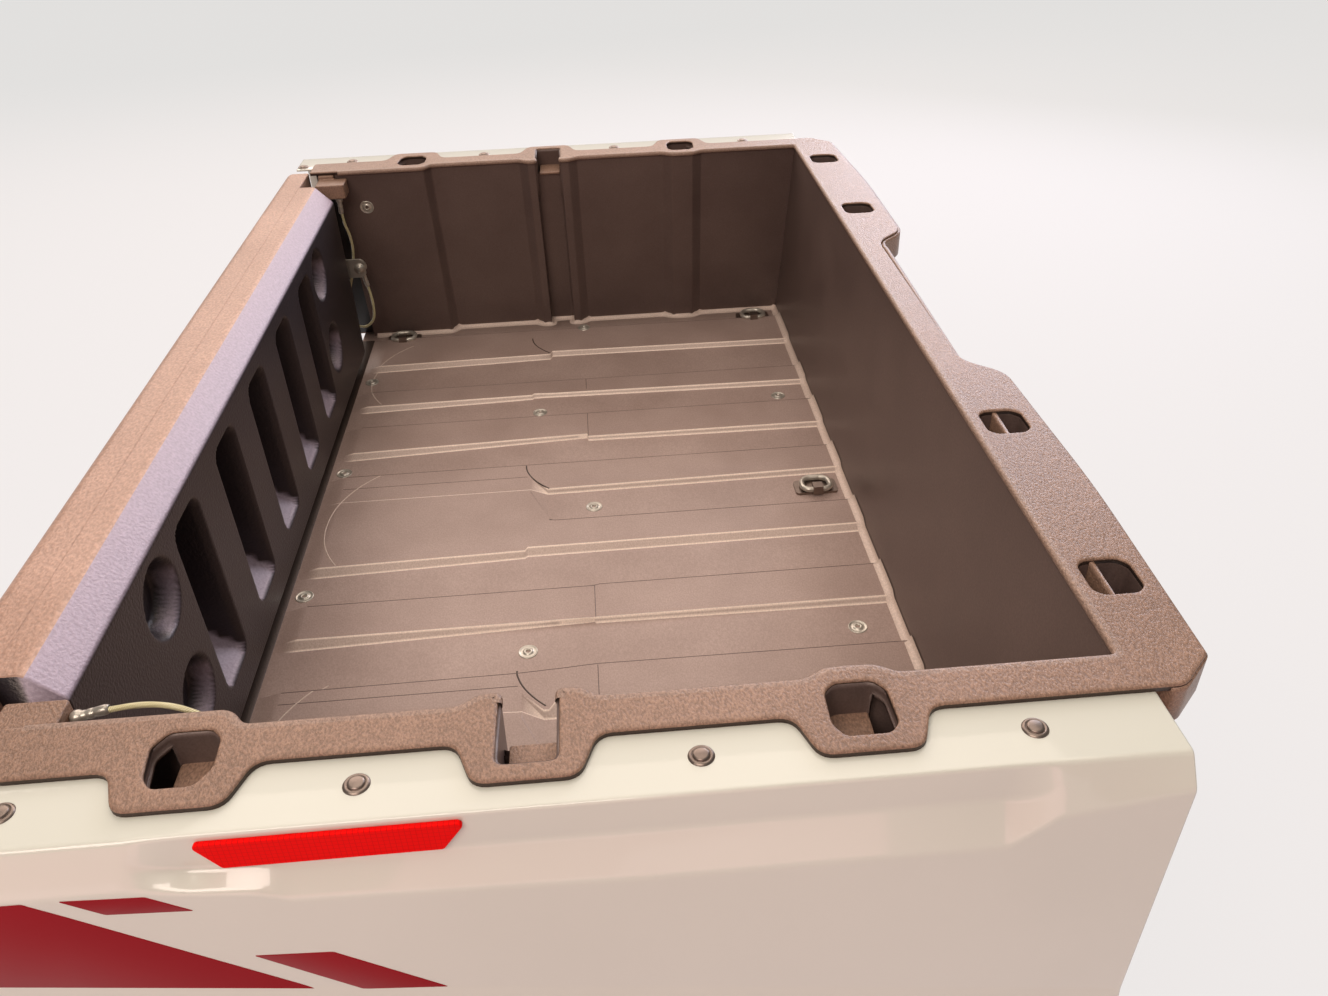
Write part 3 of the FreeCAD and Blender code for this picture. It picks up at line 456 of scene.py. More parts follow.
for node, finish in (("tie_down_rings", zincSteel), ("latch_striker", zincSteel), ("strut_rod", chromeSteel)):
    mesh = frame["nodes"][node].data
    mesh.materials.clear()
    mesh.materials.append(finish)
print("moulded copies made")


# top rail: one moulding round three sides, with lobes over its pockets
rail = {
    "rear": -701.0,
    "inner": 545.0,
    "outer": 573.0,
    "lobes": (-168.0, -363.0, -558.0),
    "lobeOut": 603.0,
    "lobeHalf": (30.0, 41.0),  # at its tip and at its foot
    # pilasters: front, rear, ramp, inner face
    "pilasters": ((-139.0, -195.5, 13.0, 536.5), (-321.0, -404.0, 12.0, 536.0), (-532.0, None, 10.0, 532.0)),
    "slot": (-344.5, -381.0, 591.0),  # the open middle pocket: its front, rear and outer end
    # corners ahead of the sides: X, |Y|, radius
    "front": ((53.0, 549.0, 2.5), (61.0, 365.0, 40.0), (58.0, 180.0, 14.0), (25.0, 150.0, 16.0)),
    # edge: distance in from the outline, and height
    "edge": ((3.6, 0.0), (1.7, 0.0), (0.95, -0.15), (0.4, -0.5), (0.1, -1.0), (0.0, -1.6), (0.0, -4.6), (1.2, -5.0)),
    # pocket corners: X, |Y|; then the shelf's X range
    "pockets": (((-187.0, 581.0), (-186.4, 556.0), (-179.5, 548.6), (-156.0, 548.6), (-149.0, 557.0),
                 (-148.2, 583.5), (-154.5, 591.0), (-181.0, 591.0)),
                ((-577.5, 580.0), (-580.5, 557.0), (-572.5, 545.4), (-548.0, 545.4), (-541.0, 553.5),
                 (-540.0, 576.0), (-547.5, 588.0), (-571.0, 588.0))),
    "shelves": ((-188.0, -157.0), (-572.0, -539.0)),
    "shelfDepth": 25.0,
    "strap": ((-376.3, -347.2), (555.0, 594.0)),  # across the middle slot: X and |Y|
    "linerHeights": (-2.2, -6.0, -14.0, -26.0, -38.0, -50.0),
    "cheekHeights": (-2.0, -5.0, -14.0, -26.0, -40.0, -58.0),
    "apronHeights": (-2.5, -6.0, -18.0, -30.0),
    # front pockets: |Y| of their middles, and corners as X and distance from the middle
    "frontPockets": (264.0, 470.0),
    "frontCorners": ((9.0, -13.0), (9.0, 13.0), (15.0, 18.5), (38.0, 18.5), (45.0, 12.0), (45.0, -12.0),
                     (38.0, -18.5), (15.0, -18.5)),
    # the rolled inner edge: distance out from it, and height
    "roll": ((3.5, 0.02), (0.8, 0.02), (-0.6, -0.1), (-1.7, -0.8), (-2.4, -2.0), (-2.6, -3.4), (-2.0, -5.2),
             (0.0, -6.0)),
}


def openSlot(work):
    # the wall's middle channel ends at the pocket's strap
    front, rear = [toFrame((x, 0.0, -26.0)) for x in rail["slot"][:2]]
    for place, normal in ((front, (1.0, 0.0, 0.0)), (rear, (1.0, 0.0, 0.0)), (front, (0.0, 0.0, 1.0))):
        everything = list(work.verts) + list(work.edges) + list(work.faces)
        bmesh.ops.bisect_plane(work, geom=everything, dist=1e-6, plane_co=place, plane_no=normal)
    middles = [(face, face.calc_center_median()) for face in work.faces]
    spare = [face for face, middle in middles
             if rear[0] - 1e-4 < middle.x < front[0] + 1e-4 and middle.z > front[2] + 1e-4]
    bmesh.ops.delete(work, geom=spare, context="FACES")


for sideName, side in sides:
    mouldedCopy("wall_" + sideName, "_moulding", tubGrain, 0.8, reshape=openSlot)


def roundedLoop(rows, steps=6):
    # a closed outline of (x, y, radius) rows, whose corners are parabolas between points at the radius's reach
    loop = []
    for before, here, after in zip(rows[-1:] + rows[:-1], rows, rows[1:] + rows[:1]):
        middle = np.array(here[:2])
        inward = np.array(before[:2]) - middle
        outward = np.array(after[:2]) - middle
        lengths = np.linalg.norm(inward), np.linalg.norm(outward)
        reach = min(here[2], 0.48 * min(lengths))
        if reach < 0.05:
            loop.append(middle)
            continue
        t = np.linspace(0.0, 1.0, steps)[:, None]
        start = middle + inward / lengths[0] * reach
        end = middle + outward / lengths[1] * reach
        loop += list((1 - t) ** 2 * start + 2 * t * (1 - t) * middle + t ** 2 * end)
    return np.array(loop)


def oriented(loop, way=1.0):
    # the outline run anticlockwise, or clockwise where the way is negative
    area = np.sum(loop[:, 0] * np.roll(loop[:, 1], -1) - np.roll(loop[:, 0], -1) * loop[:, 1])
    return loop if area * way > 0.0 else loop[::-1]


def evenSteps(path, step):
    # the same line with points no further apart than about the step
    parts = [path[:1]]
    for here, there in zip(path, path[1:]):
        count = max(1, int(np.linalg.norm(there - here) / step))
        parts.append(here + (there - here) * (np.arange(1, count + 1) / count)[:, None])
    return np.concatenate(parts)


def shrunkLoop(loop, distance):
    # each point moved in along its mitre; sides that would turn over shrink to a point
    side = np.roll(loop, -1, axis=0) - loop
    side /= np.maximum(np.linalg.norm(side, axis=1), 1e-9)[:, None]
    normal = np.stack([side[:, 1], -side[:, 0]], 1)
    before = np.roll(normal, 1, axis=0)
    mitre = (normal + before) / np.maximum(1.0 + np.sum(normal * before, axis=1), 0.3)[:, None]
    moved = loop - mitre * distance
    for turn in range(12):
        after = np.roll(moved, -1, axis=0)
        turned = np.sum((after - moved) * side, axis=1) < 0.0
        if not turned.any():
            break
        middle = (moved + after) / 2.0
        moved = np.where(turned[:, None], middle, moved)
        moved = np.where(np.roll(turned, 1)[:, None], np.roll(middle, 1, axis=0), moved)
    return moved


def levels(path, heights):
    # the path repeated at each height. Shape (heights, points, 3)
    return np.stack([np.column_stack([path, np.full(len(path), z)]) for z in heights])


def filledCells(rings):
    # triangles between closed outlines given as (x, y) rows: constrained Delaunay cells whose centre lies inside by
    # the even-odd rule. Where outlines cross, the crossings come back as added places, numbered after the others
    flat = np.concatenate(rings)
    edges, start = [], 0
    for ring in rings:
        edges += [(start + k, start + (k + 1) % len(ring)) for k in range(len(ring))]
        start += len(ring)
    result = delaunay_2d_cdt([Vector(point) for point in flat], edges, [], 0, 1e-4)
    places = np.array([tuple(place) for place in result[0]])
    cells = np.array(result[2])
    first = np.array([origins[0] if origins else -1 for origins in result[3]])
    centre = places[cells].mean(axis=1)
    ends = np.array(edges)
    a, b = flat[ends[:, 0]], flat[ends[:, 1]]
    rise = np.where(np.abs(b[:, 1] - a[:, 1]) < 1e-9, 1e-9, b[:, 1] - a[:, 1])
    crossed = (a[:, 1][None] > centre[:, 1:]) != (b[:, 1][None] > centre[:, 1:])
    reach = a[:, 0] + (centre[:, 1:] - a[:, 1]) / rise * (b[:, 0] - a[:, 0])
    inside = np.sum(crossed & (centre[:, :1] < reach), axis=1) % 2 == 1
    added = first < 0
    first[added] = len(flat) + np.arange(added.sum())
    a, b, c = [places[cells[:, k]] for k in range(3)]
    turned = (b[:, 0] - a[:, 0]) * (c[:, 1] - a[:, 1]) < (c[:, 0] - a[:, 0]) * (b[:, 1] - a[:, 1])
    cells[turned] = cells[turned][:, ::-1]
    return first[cells[inside]], places[added].reshape(-1, 2)


def platePiece(name, loops, rows, replaced=()):
    # a flat plate with holes: every outline gets the same rounded edge, and the flats close top and bottom
    points, faces, start = [], [], 0
    tops, lows = [], []
    for k, loop in enumerate(loops):
        loop = oriented(loop, -1.0 if k else 1.0)
        rings = np.concatenate([levels(shrunkLoop(loop, inset), (height,)) for inset, height in rows])
        count = len(loop)
        faces += gridFaces(len(rows), count, closed=True, start=start)
        tops.append((rings[0, :, :2], start))
        lows.append((rings[-1, :, :2], start + (len(rows) - 1) * count))
        points.append(rings.reshape(-1, 3))
        start += len(rows) * count
    for ends, height in ((tops, rows[0][1]), (lows, rows[-1][1])):
        index = np.concatenate([first + np.arange(len(ring)) for ring, first in ends])
        cells, added = filledCells([ring for ring, first in ends])
        index = np.append(index, start + np.arange(len(added)))
        points.append(levels(added, (height,))[0])
        start += len(added)
        faces += index[cells if ends is tops else cells[:, ::-1]].tolist()
    return newPiece(name, np.concatenate(points), faces, "bed", railGrain, replaced, merge=True)


def sideInner(deep=rail["slot"][2]):
    # the rail's inner edge on the left side, from its rear end to the front corner
    rows = [(0.0, rail["inner"], 6.0)]
    front, rear = rail["slot"][:2]
    for pilasterFront, pilasterRear, ramp, inside in rail["pilasters"]:
        rows += [(pilasterFront, rail["inner"], 6.0), (pilasterFront - ramp, inside, 6.0)]
        if pilasterRear is None:
            rows.append((rail["rear"], inside, 3.0))
            break
        if pilasterFront > front > pilasterRear:
            rows += [(front, inside, 3.0), (front, deep, 6.0), (rear, deep, 6.0), (rear, inside, 3.0)]
        rows += [(pilasterRear + ramp, inside, 6.0), (pilasterRear, rail["inner"], 6.0)]
    return rows[::-1]


def sideOuter():
    # the rail's outer edge as positive Y, from the middle of the front to the rear end
    tip, foot = rail["lobeHalf"]
    outer, lobeOut = rail["outer"], rail["lobeOut"]
    rows = [(rail["rear"], outer, 4.0)]
    for x in sorted(rail["lobes"]):
        rows += [(x - foot, outer, 9.0), (x - tip, lobeOut, 9.0), (x + tip, lobeOut, 9.0), (x + foot, outer, 9.0)]
    return (rows + [(28.0, outer, 6.0)] + list(rail["front"]))[::-1]


def flip(rows):
    # the same corners on the other side, run the other way
    return [(x, -y, radius) for x, y, radius in rows][::-1]


railOutline = oriented(roundedLoop(sideInner() + flip(sideInner()) + flip(sideOuter()) + sideOuter()))
pocketLoops = {"left": [], "right": []}
for corners in rail["pockets"]:
    rows = [(x, y, 3.6) for x, y in corners]
    pocketLoops["left"].append(roundedLoop(rows, 4))
    pocketLoops["right"].append(roundedLoop(flip(rows), 4))
frontLoops = [roundedLoop([(x, side * y + dy, 3.6) for x, dy in rail["frontCorners"]], 4)
              for y in rail["frontPockets"] for side in (-1.0, 1.0)]
holes = pocketLoops["left"] + pocketLoops["right"] + frontLoops
topRail = platePiece("top_rail_moulding", [railOutline] + holes, rail["edge"],
                     ("rail_left", "rail_right", "rail_front"))
# faces on the rail's sides below its top edge take the dark copy: painted shade
topRail.data.materials.append(paintedShadeGrain)
for face in topRail.data.polygons:
    face.material_index = int(abs(face.normal.z) < 0.55 and toDrawing(face.center)[2] < -1.7)


def smallPlate(name, xRange, yRange, radius, share):
    # a plate at the shelves' depth, its edge like the rail's but finer
    (x0, x1), (y0, y1) = xRange, yRange
    loop = roundedLoop([(x0, y0, radius), (x1, y0, radius), (x1, y1, radius), (x0, y1, radius)])
    platePiece(name, [loop], [(inset * 0.4, height * share - rail["shelfDepth"]) for inset, height in rail["edge"]])


def pocketLiner(name, loop, side, shelf):
    # the pocket's wall: its outline carried down along the lean of the tub, with a shelf over half of it
    loop = evenSteps(shrunkLoop(oriented(loop), -0.2), 2.5)
    middle = loop.mean(axis=0)
    lean = side * drawn["tilt"] * 0.6
    rings = np.concatenate([levels(middle + (loop - middle) * (1.0 + z * 0.0012), (z,))
                            for z in rail["linerHeights"]])
    if shelf:
        beyond = (loop[:, 0] < shelf[0] - 1.0) | (loop[:, 0] > shelf[1] + 1.0)
        rings[:, beyond, 2] = np.maximum(rings[:, beyond, 2], -9.0)
    rings[..., 1] -= lean * rings[..., 2]
    faces = gridFaces(*rings.shape[:2], closed=True)
    thicken(newPiece(name + "_liner", rings, faces, "bed", tubGrain, recalc=True), 2.2, 1.0)
    if shelf:
        y = loop[:, 1] + lean * rail["shelfDepth"]
        smallPlate(name + "_shelf", shelf, (y.min() - 1.0, y.max() + 1.0), 3.0, 0.5)


slotFront, slotRear = rail["slot"][:2]
for sideName, side in sides:
    for place, loop, shelf in zip(("front", "rear"), pocketLoops[sideName], rail["shelves"]):
        pocketLiner("rail_pocket_" + place + "_" + sideName, loop, side, shelf)
    name = "rail_pocket_middle_" + sideName
    smallPlate(name + "_strap", rail["strap"][0], sorted(side * y for y in rail["strap"][1]), 2.0, 0.6)
    # the slot's cheeks hang from the rail's own outline
    x, y = railOutline[:, 0], railOutline[:, 1] * side
    path = railOutline[(x > slotRear - 0.2) & (x < slotFront + 0.2) & (y > 538.5)]
    grid = levels(path, rail["cheekHeights"])
    grid[..., 1] -= side * drawn["tilt"] * (grid[..., 2] + 2.0)
    thicken(newPiece(name + "_cheeks", grid, None, "bed", tubGrain), 3.0, 0.0)
for k, loop in enumerate(frontLoops):
    pocketLiner("rail_pocket_cab_%d" % (k + 1), loop, 0.0, None)

# an apron 4 mm thick below the rail's front edge, carried along the outline 1 mm in from it
rows = [(20.0, rail["outer"], 0.0), (28.0, rail["outer"], 6.0)] + list(rail["front"])
path = shrunkLoop(oriented(roundedLoop(flip(rows) + [(60.0, 0.0, 0.0)] + rows[::-1])), 1.0)
path = path[(path[:, 0] > 18.5) & (np.abs(path[:, 1]) > 1.0)]
thicken(newPiece("top_rail_apron", levels(path, rail["apronHeights"]), None, "bed", railGrain), 4.0, 1.0)
print("top rail made")


# floor
floor = {
    "top": -280.0,
    "thick": 4.0,
    "half": 600.0,
    "rear": -684.0,
    "front": -12.0,
    "height": 5.0,
    "rise": (-661.0, -641.0),  # the ribs come up to their height between these X
    "highlightRise": (-652.0, -641.0),  # and their painted highlight between these
    # the floor's grid has lines at these distances from each rib's near foot, near top, far top and far foot
    "lines": ((-0.8, 0.0, 0.8, 2.2), (-2.2, -0.8, 0.0, 0.8), (-0.5, 0.0, 0.5), (-0.5, 0.0, 0.5)),
    "hem": (-674.0, 560.0),  # X and half length of the dark strip below the tailgate, painted shadow in the gap there
}
# One rib per row: the Y of its middle, then stations, each with X and the distances from the middle to the near foot,
# near top, far top and far foot.
ribRows = (
    (-496.0, ((-641, -36, -30, 28, 31), (-13, -36, -30, 28, 31))),
    (-372.0, ((-641, -48, -35, 124, 127), (-408, -39, -30, 124, 127), (-380, -36, -24, 26, 29),
              (-13, -33, -22, 26, 29))),
    (-248.0, ((-641, -30, -22, 16, 19), (-408, -43, -35, 18, 21), (-374, -43, -35, 20, 23), (-371, -43, -22, 20, 23),
              (-331.5, -43, -22, 23, 26), (-330, -28, -22, 23, 26), (-13, -29, -23, 21, 24))),
    (-124.0, ((-641, -44, -31, 22, 24), (-331.5, -33, -31, 22, 24), (-330, -35, -31, 24, 26),
              (-13, -38, -31, 24, 26))),
    (0.0, ((-641, -48, -35, 124, 127), (-408, -39, -30, 124, 127), (-405, -36, -24, 124, 127),
           (-380, -36, -24, 26, 29), (-13, -33, -22, 26, 29))),
    (124.0, ((-380, -36, -30, 28, 31), (-13, -31, -24, 28, 31))),
    (248.0, ((-641, -50, -38, 28, 30), (-331.5, -31, -28, 28, 30), (-330, -38, -34, 28, 30),
             (-13, -42, -35, 28, 30))),
    (372.0, ((-641, -48, -37, 5, 8), (-408, -39, -34, 5, 8), (-405, -36, -30, 5, 8), (-380, -36, -32, 5, 8),
             (-13, -45, -38, 5, 8))),
    (496.0, ((-641, -49, -36, 55, 58), (-383, -40, -31, 55, 58), (-380, -31, -22, 55, 58), (-13, -36, -28, 55, 58))),
)


def ribEdges(x):
    # for each rib, the Y of its near foot, near top, far top and far foot at X
    for centre, stations in ribRows:
        rows = np.array(stations, float)
        yield [centre + np.interp(x, rows[:, 0], rows[:, k]) for k in range(1, 5)]


def risen(x, start, end):
    # 0 at the start and 1 at the end, level outside them
    return np.clip((x - start) / (end - start), 0.0, 1.0)


def ribHeight(x, y):
    # plateau of each rib: the smaller of its near and far slopes, taken over all ribs
    height = np.zeros(np.broadcast(x, y).shape)
    for nearFoot, nearTop, farTop, farFoot in ribEdges(x):
        height = np.maximum(height, np.minimum(risen(y, nearFoot, nearTop), risen(y, farFoot, farTop)))
    return height


def floorSkin():
    # height = rib height times a rise at the rear; the grid's lines follow the ribs' edges
    xs = np.unique(np.concatenate([
        np.linspace(floor["rear"], floor["rise"][0], 4), np.linspace(*floor["rise"], 6),
        np.linspace(-639.0, -410.0, 30), [-408.0, -405.0, -404.0, -383.0, -382.0, -380.5, -380.0],
        np.linspace(-378.0, -333.0, 8), [-332.0, -331.5, -330.0, -329.0], np.linspace(-328.0, -16.0, 34),
        [-13.5, floor["front"]]]))
    lines = [np.full_like(xs, -floor["half"]), np.full_like(xs, floor["half"])]
    for edges in ribEdges(xs):
        for edge, steps in zip(edges, floor["lines"]):
            lines += [edge + step for step in steps]
    y = np.sort(np.stack(lines, 1), axis=1)
    x = np.broadcast_to(xs[:, None], y.shape)
    z = floor["top"] + floor["height"] * ribHeight(x, y) * risen(x, *floor["rise"])
    return np.stack([x, y, z], -1)


def slopeHighlight(x, y):
    # pale along the top and the foot of each near slope, less pale between them: painted highlights, on the near
    # slopes only
    highlight = np.zeros(x.shape)
    for foot, top, farTop, farFoot in ribEdges(x):
        t = (y - foot) / (top - foot)
        edge = np.minimum(np.abs(y - foot), np.abs(y - top))
        here = (t > -0.02) & (t < 1.02)
        lone = ribHeight(x, y) < np.clip(t, 0.0, 1.0) + 0.02
        highlight = np.maximum(highlight, np.where(here & lone, np.where(edge < 1.2, 1.0, 0.3), 0.0))
    return highlight * risen(x, *floor["highlightRise"])


def setPaintedHighlight(piece, values):
    # the share of the pale colour at each point: a painted highlight
    layer = piece.data.attributes.new("rubbed", "FLOAT", "POINT")
    layer.data.foreach_set("value", np.asarray(values, float).ravel())


floorTop = floorSkin()
floorPiece = newPiece("bed_floor_ribbed", floorTop, None, "bed", floorGrain, ("bed_floor",))
setPaintedHighlight(floorPiece, slopeHighlight(floorTop[..., 0], floorTop[..., 1]))
thicken(floorPiece, floor["thick"], -1.0)


def carriedPiece(name, paths, profile, material, highlight=0.0):
    # a profile of (across, up) rows carried along each path of (x, y, z) rows
    profile = np.array(profile)
    points, faces, start = [], [], 0
    for path in paths:
        tangent = np.gradient(path[:, :2], axis=0)
        tangent /= np.linalg.norm(tangent, axis=1)[:, None]
        side = np.stack([-tangent[:, 1], tangent[:, 0]], 1)
        flat = path[:, None, :2] + side[:, None, :] * profile[None, :, :1]
        z = path[:, 2:] + profile[None, :, 1]
        points.append(np.concatenate([flat, z[..., None]], -1).reshape(-1, 3))
        faces += gridFaces(len(path), len(profile), start=start)
        start += len(path) * len(profile)
    setPaintedHighlight(newPiece(name, np.concatenate(points), faces, "bed", material), np.full(start, highlight))


def onFloor(path):
    # the path laid on the floor's ribs, and 1 mm down where it crosses a slope
    height = ribHeight(path[:, 0], path[:, 1])
    z = floor["top"] + floor["height"] * risen(path[:, 0], *floor["rise"]) * height
    return np.column_stack([path, z - np.where((height > 0.02) & (height < 0.98), 1.0, 0.0)])


# moulding lines on the floor: half-round arcs whose pale colour is a painted highlight, curls beside them in the dark
# copy of the plastic as painted shade, and lines in the walls' darker plastic as painted shade at the ribs' ends and
# far edges
pale, arcs, steps = [], [], []
turn = np.linspace(math.radians(129.0), math.radians(215.5), 61)
t = np.linspace(0.0, 1.0, 20)
for centre in (-372.0, 0.0, 372.0):
    pale.append(np.stack([-512.0 + 135.0 * np.cos(turn), centre + 45.0 + 135.0 * np.sin(turn)], 1))
    arcs.append(np.stack([-411.0 + 30.0 * t ** 2, centre + 150.0 - 56.0 * t], 1))
for y0, y1 in ((377.0, 346.0), (276.0, 214.0), (-101.6, -155.0), (-224.5, -269.0)):
    steps.append(np.stack([-330.0 + 0.0 * t, y0 + (y1 - y0) * t], 1))
x = np.linspace(-640.0, -16.0, 90)
for edges in ribEdges(x):
    edge = edges[2] - 0.4
    parts = np.split(np.column_stack([x, edge]), np.where(np.abs(np.diff(edge)) > 4.0)[0] + 1)
    steps += [part for part in parts if len(part) > 3]
for name, paths, material, half, high, highlight in (
        ("pale", pale, floorGrain, 1.0, 0.5, 0.5), ("dark", steps, tubGrain, 0.55, 0.25, 0.0),
        ("arcs", arcs, paintedShadeGrain, 1.1, 0.3, 0.0)):
    profile = ((-half, -0.4), (-half * 0.7, high * 0.6), (0.0, high), (half * 0.7, high * 0.6), (half, -0.4))
    carriedPiece("bed_floor_lines_" + name, [onFloor(path) for path in paths], profile, material, highlight)

# a hollow fillet of 7 mm where the floor meets the walls, its pale colour a painted highlight
rows = [(x, y - floor["top"] * drawn["tilt"], r) for x, y, r in sideInner(554.0)]
rows[-1] = (floor["top"] * drawn["frontTilt"], rows[-1][1], 8.0)
loop = evenSteps(roundedLoop(rows + flip(rows)), 3.0)
loop = loop[loop[:, 0] > -664.0]
height = floor["top"] + ribHeight(loop[:, 0], loop[:, 1]) * floor["height"]
carriedPiece("bed_floor_cove", [np.column_stack([loop, height])],
             ((-0.3, 7.0), (-1.0, 3.4), (-2.6, 1.2), (-5.0, 0.3), (-8.0, 0.05)), floorGrain, 0.6)

# a rolled edge of 3 mm along the inside of the rail, open at the slots, with a little painted highlight
loop = evenSteps(roundedLoop(sideInner() + flip(sideInner())), 4.0)
loop = loop[loop[:, 0] > -662.0]
for part in np.split(loop, np.where(np.diff((np.abs(loop[:, 1]) > 546.5).astype(int)) != 0)[0] + 1):
    if len(part) > 6 and np.abs(part[:, 1]).max() < 547.0:
        carriedPiece("top_rail_roll", levels(part, (0.0,)), rail["roll"], railGrain, 0.3)

# a dark strip across the floor's rear edge, below the tailgate: painted shadow in the gap there
shadowStripX, shadowStripHalf = floor["hem"]
shadowStripPath = np.column_stack([np.full(60, shadowStripX), np.linspace(-shadowStripHalf, shadowStripHalf, 60), np.full(60, floor["top"])])
carriedPiece("bed_floor_rear_painted_shadow", [shadowStripPath], ((-9.8, 0.05), (-9.0, 0.6), (9.0, 0.6), (9.8, 0.05)), paintedShadeGrain)
print("floor made")


# painted side panels
panel = {
    "innerEdge": 566.0,
    "top": -5.0,
    "shoulder": 619.0,
    "half": 632.0,
    "foldDrop": 32.0,
    "front": 10.0,
    "rear": -727.0,
    "thick": 2.5,
    "notch": (26.0, 596.5),  # under each lobe the flange starts further out: half width and Y
    "hem": (-103.8, 0.1735, -667.0),  # height at the rear, fall per millimetre, and the X that it falls from
    "crease": ((10.0, -23.0), (-66.0, -37.0), (-92.0, -59.0), (-304.0, -58.0), (-437.0, -51.5), (-496.0, -49.0),
               (-513.0, -41.0), (-548.0, -36.0), (-578.0, -32.0), (-727.0, -32.0)),
    "recessed": ((10.0, 0.0), (-66.0, 0.0), (-92.0, 1.0), (-548.0, 1.0), (-578.0, 0.0), (-727.0, 0.0)),
    "corners": (3.0, 3.5, 3.5, 2.5),
}


def along(table, x, blur=2.0):
    # a table's value at x, averaged over a few millimetres so that its corners are soft
    rows = np.array(sorted(table))
    return sum(np.interp(x + step, rows[:, 0], rows[:, 1]) for step in np.linspace(-blur, blur, 5)) / 5.0


def roundedSection(corners, reach, steps):
    # a folded section with each inner corner drawn as a parabola between points at its reach. Shape (x, row, 2)
    rows = [corners[0]]
    t = np.linspace(0.0, 1.0, steps)[None, :, None]
    for before, here, after, length in zip(corners, corners[1:], corners[2:], reach):
        inward, outward = [here + way * np.minimum(length / np.linalg.norm(way, axis=-1, keepdims=True), 0.49)
                           for way in (before - here, after - here)]
        bend = (1 - t) ** 2 * inward[:, None] + 2 * t * (1 - t) * here[:, None] + t ** 2 * outward[:, None]
        rows += [bend[:, k] for k in range(steps)]
    rows.append(corners[-1])
    return np.stack(rows, 1)


# The section runs from the flange under the rail over the shoulder, the fold and the crease to the hem; one more
# row beside each free edge keeps the flats flat.
notchHalf, notchY = panel["notch"]
xs = np.unique(np.concatenate([
    np.linspace(panel["rear"], panel["front"], 220), [panel["rear"] + 0.8, panel["front"] - 0.8],
    [x + s * (notchHalf + d) for x in rail["lobes"] for s in (-1, 1) for d in (-1.2, -0.5, 0.5, 1.2)]]))
crease = along(panel["crease"], xs)
recess = along(panel["recessed"], xs)
height, slope, start = panel["hem"]
low = height - slope * (xs - start)
shoulder, half, top = panel["shoulder"], panel["half"], panel["top"]
inner = np.full_like(xs, panel["innerEdge"])
for x in rail["lobes"]:
    inner = np.where(np.abs(xs - x) < notchHalf, notchY, inner)
foldY = shoulder + (1 - recess) * (half - shoulder) / 2.0
foldZ = recess * -panel["foldDrop"] + (1 - recess) * (crease + top) / 2.0
corners = [np.stack(np.broadcast_arrays(y, z, xs)[:2], -1) for y, z in (
    (inner, top), (shoulder, top), (foldY, foldZ), (half, crease), (half, low), (half + 3.0, low - 20.0))]
section = roundedSection(corners, panel["corners"], 6)
section = np.concatenate([section[:, :1], section[:, :1] + (0.8, 0.0), section[:, 1:-1],
                          section[:, -1:] + (0.0, 0.8), section[:, -1:]], 1)
x = np.broadcast_to(xs[:, None], section.shape[:2])
for sideName, side in sides:
    points = np.stack([x, side * section[..., 0], section[..., 1]], -1)
    faces = [face[::int(side)] for face in gridFaces(*points.shape[:2])]
    name = "side_panel_" + sideName
    thicken(newPiece(name + "_skin", points, faces, "bed", sagePaint, (name,)), panel["thick"], -1.0)
print("side panels made")


# reflectors, stripes, rivets and screws
for sideName, side in sides:
    mouldedCopy("reflector_" + sideName, "_lens", lensRed, 1.0, 3)

stripes = (
    # outline of each stripe on the flat side: X, Z
    ((-726.0, -32.8), (-650.0, -32.8), (-634.0, -33.0), (-615.0, -47.0), (-498.0, -137.0), (-632.0, -119.0),
     (-672.0, -106.0), (-726.0, -80.0)),
    ((-614.9, -33.2), (-570.2, -35.6), (-548.2, -50.9), (-594.7, -47.8)),
    ((-527.4, -97.1), (-483.2, -100.2), (-423.5, -146.0), (-473.2, -140.3)),
)
stripeEdge = ((0.0, 631.9), (0.05, 632.25), (0.3, 632.35))  # distance in from the outline, and |Y|


def stripeDecals(name, side):
    # thin vinyl laid on the flat side, its edge just proud
    points, faces, start = [], [], 0
    for outline in stripes:
        loop = oriented(roundedLoop([(x, z, 1.5) for x, z in outline], 4))
        count = len(loop)
        rings = [shrunkLoop(loop, inset) for inset, y in stripeEdge]
        points += [levels(ring, (side * y,))[0][:, [0, 2, 1]] for ring, (inset, y) in zip(rings, stripeEdge)]
        faces += gridFaces(3, count, closed=True, start=start)
        cells = filledCells(rings[-1:])[0][:, ::-1]
        faces += (cells[(cells < count).all(axis=1)] + start + 2 * count).tolist()
        start += 3 * count
    newPiece(name, np.concatenate(points), [face[::int(side)] for face in faces], "bed", maroonVinyl)


for sideName, side in sides:
    stripeDecals("side_stripes_" + sideName, side)

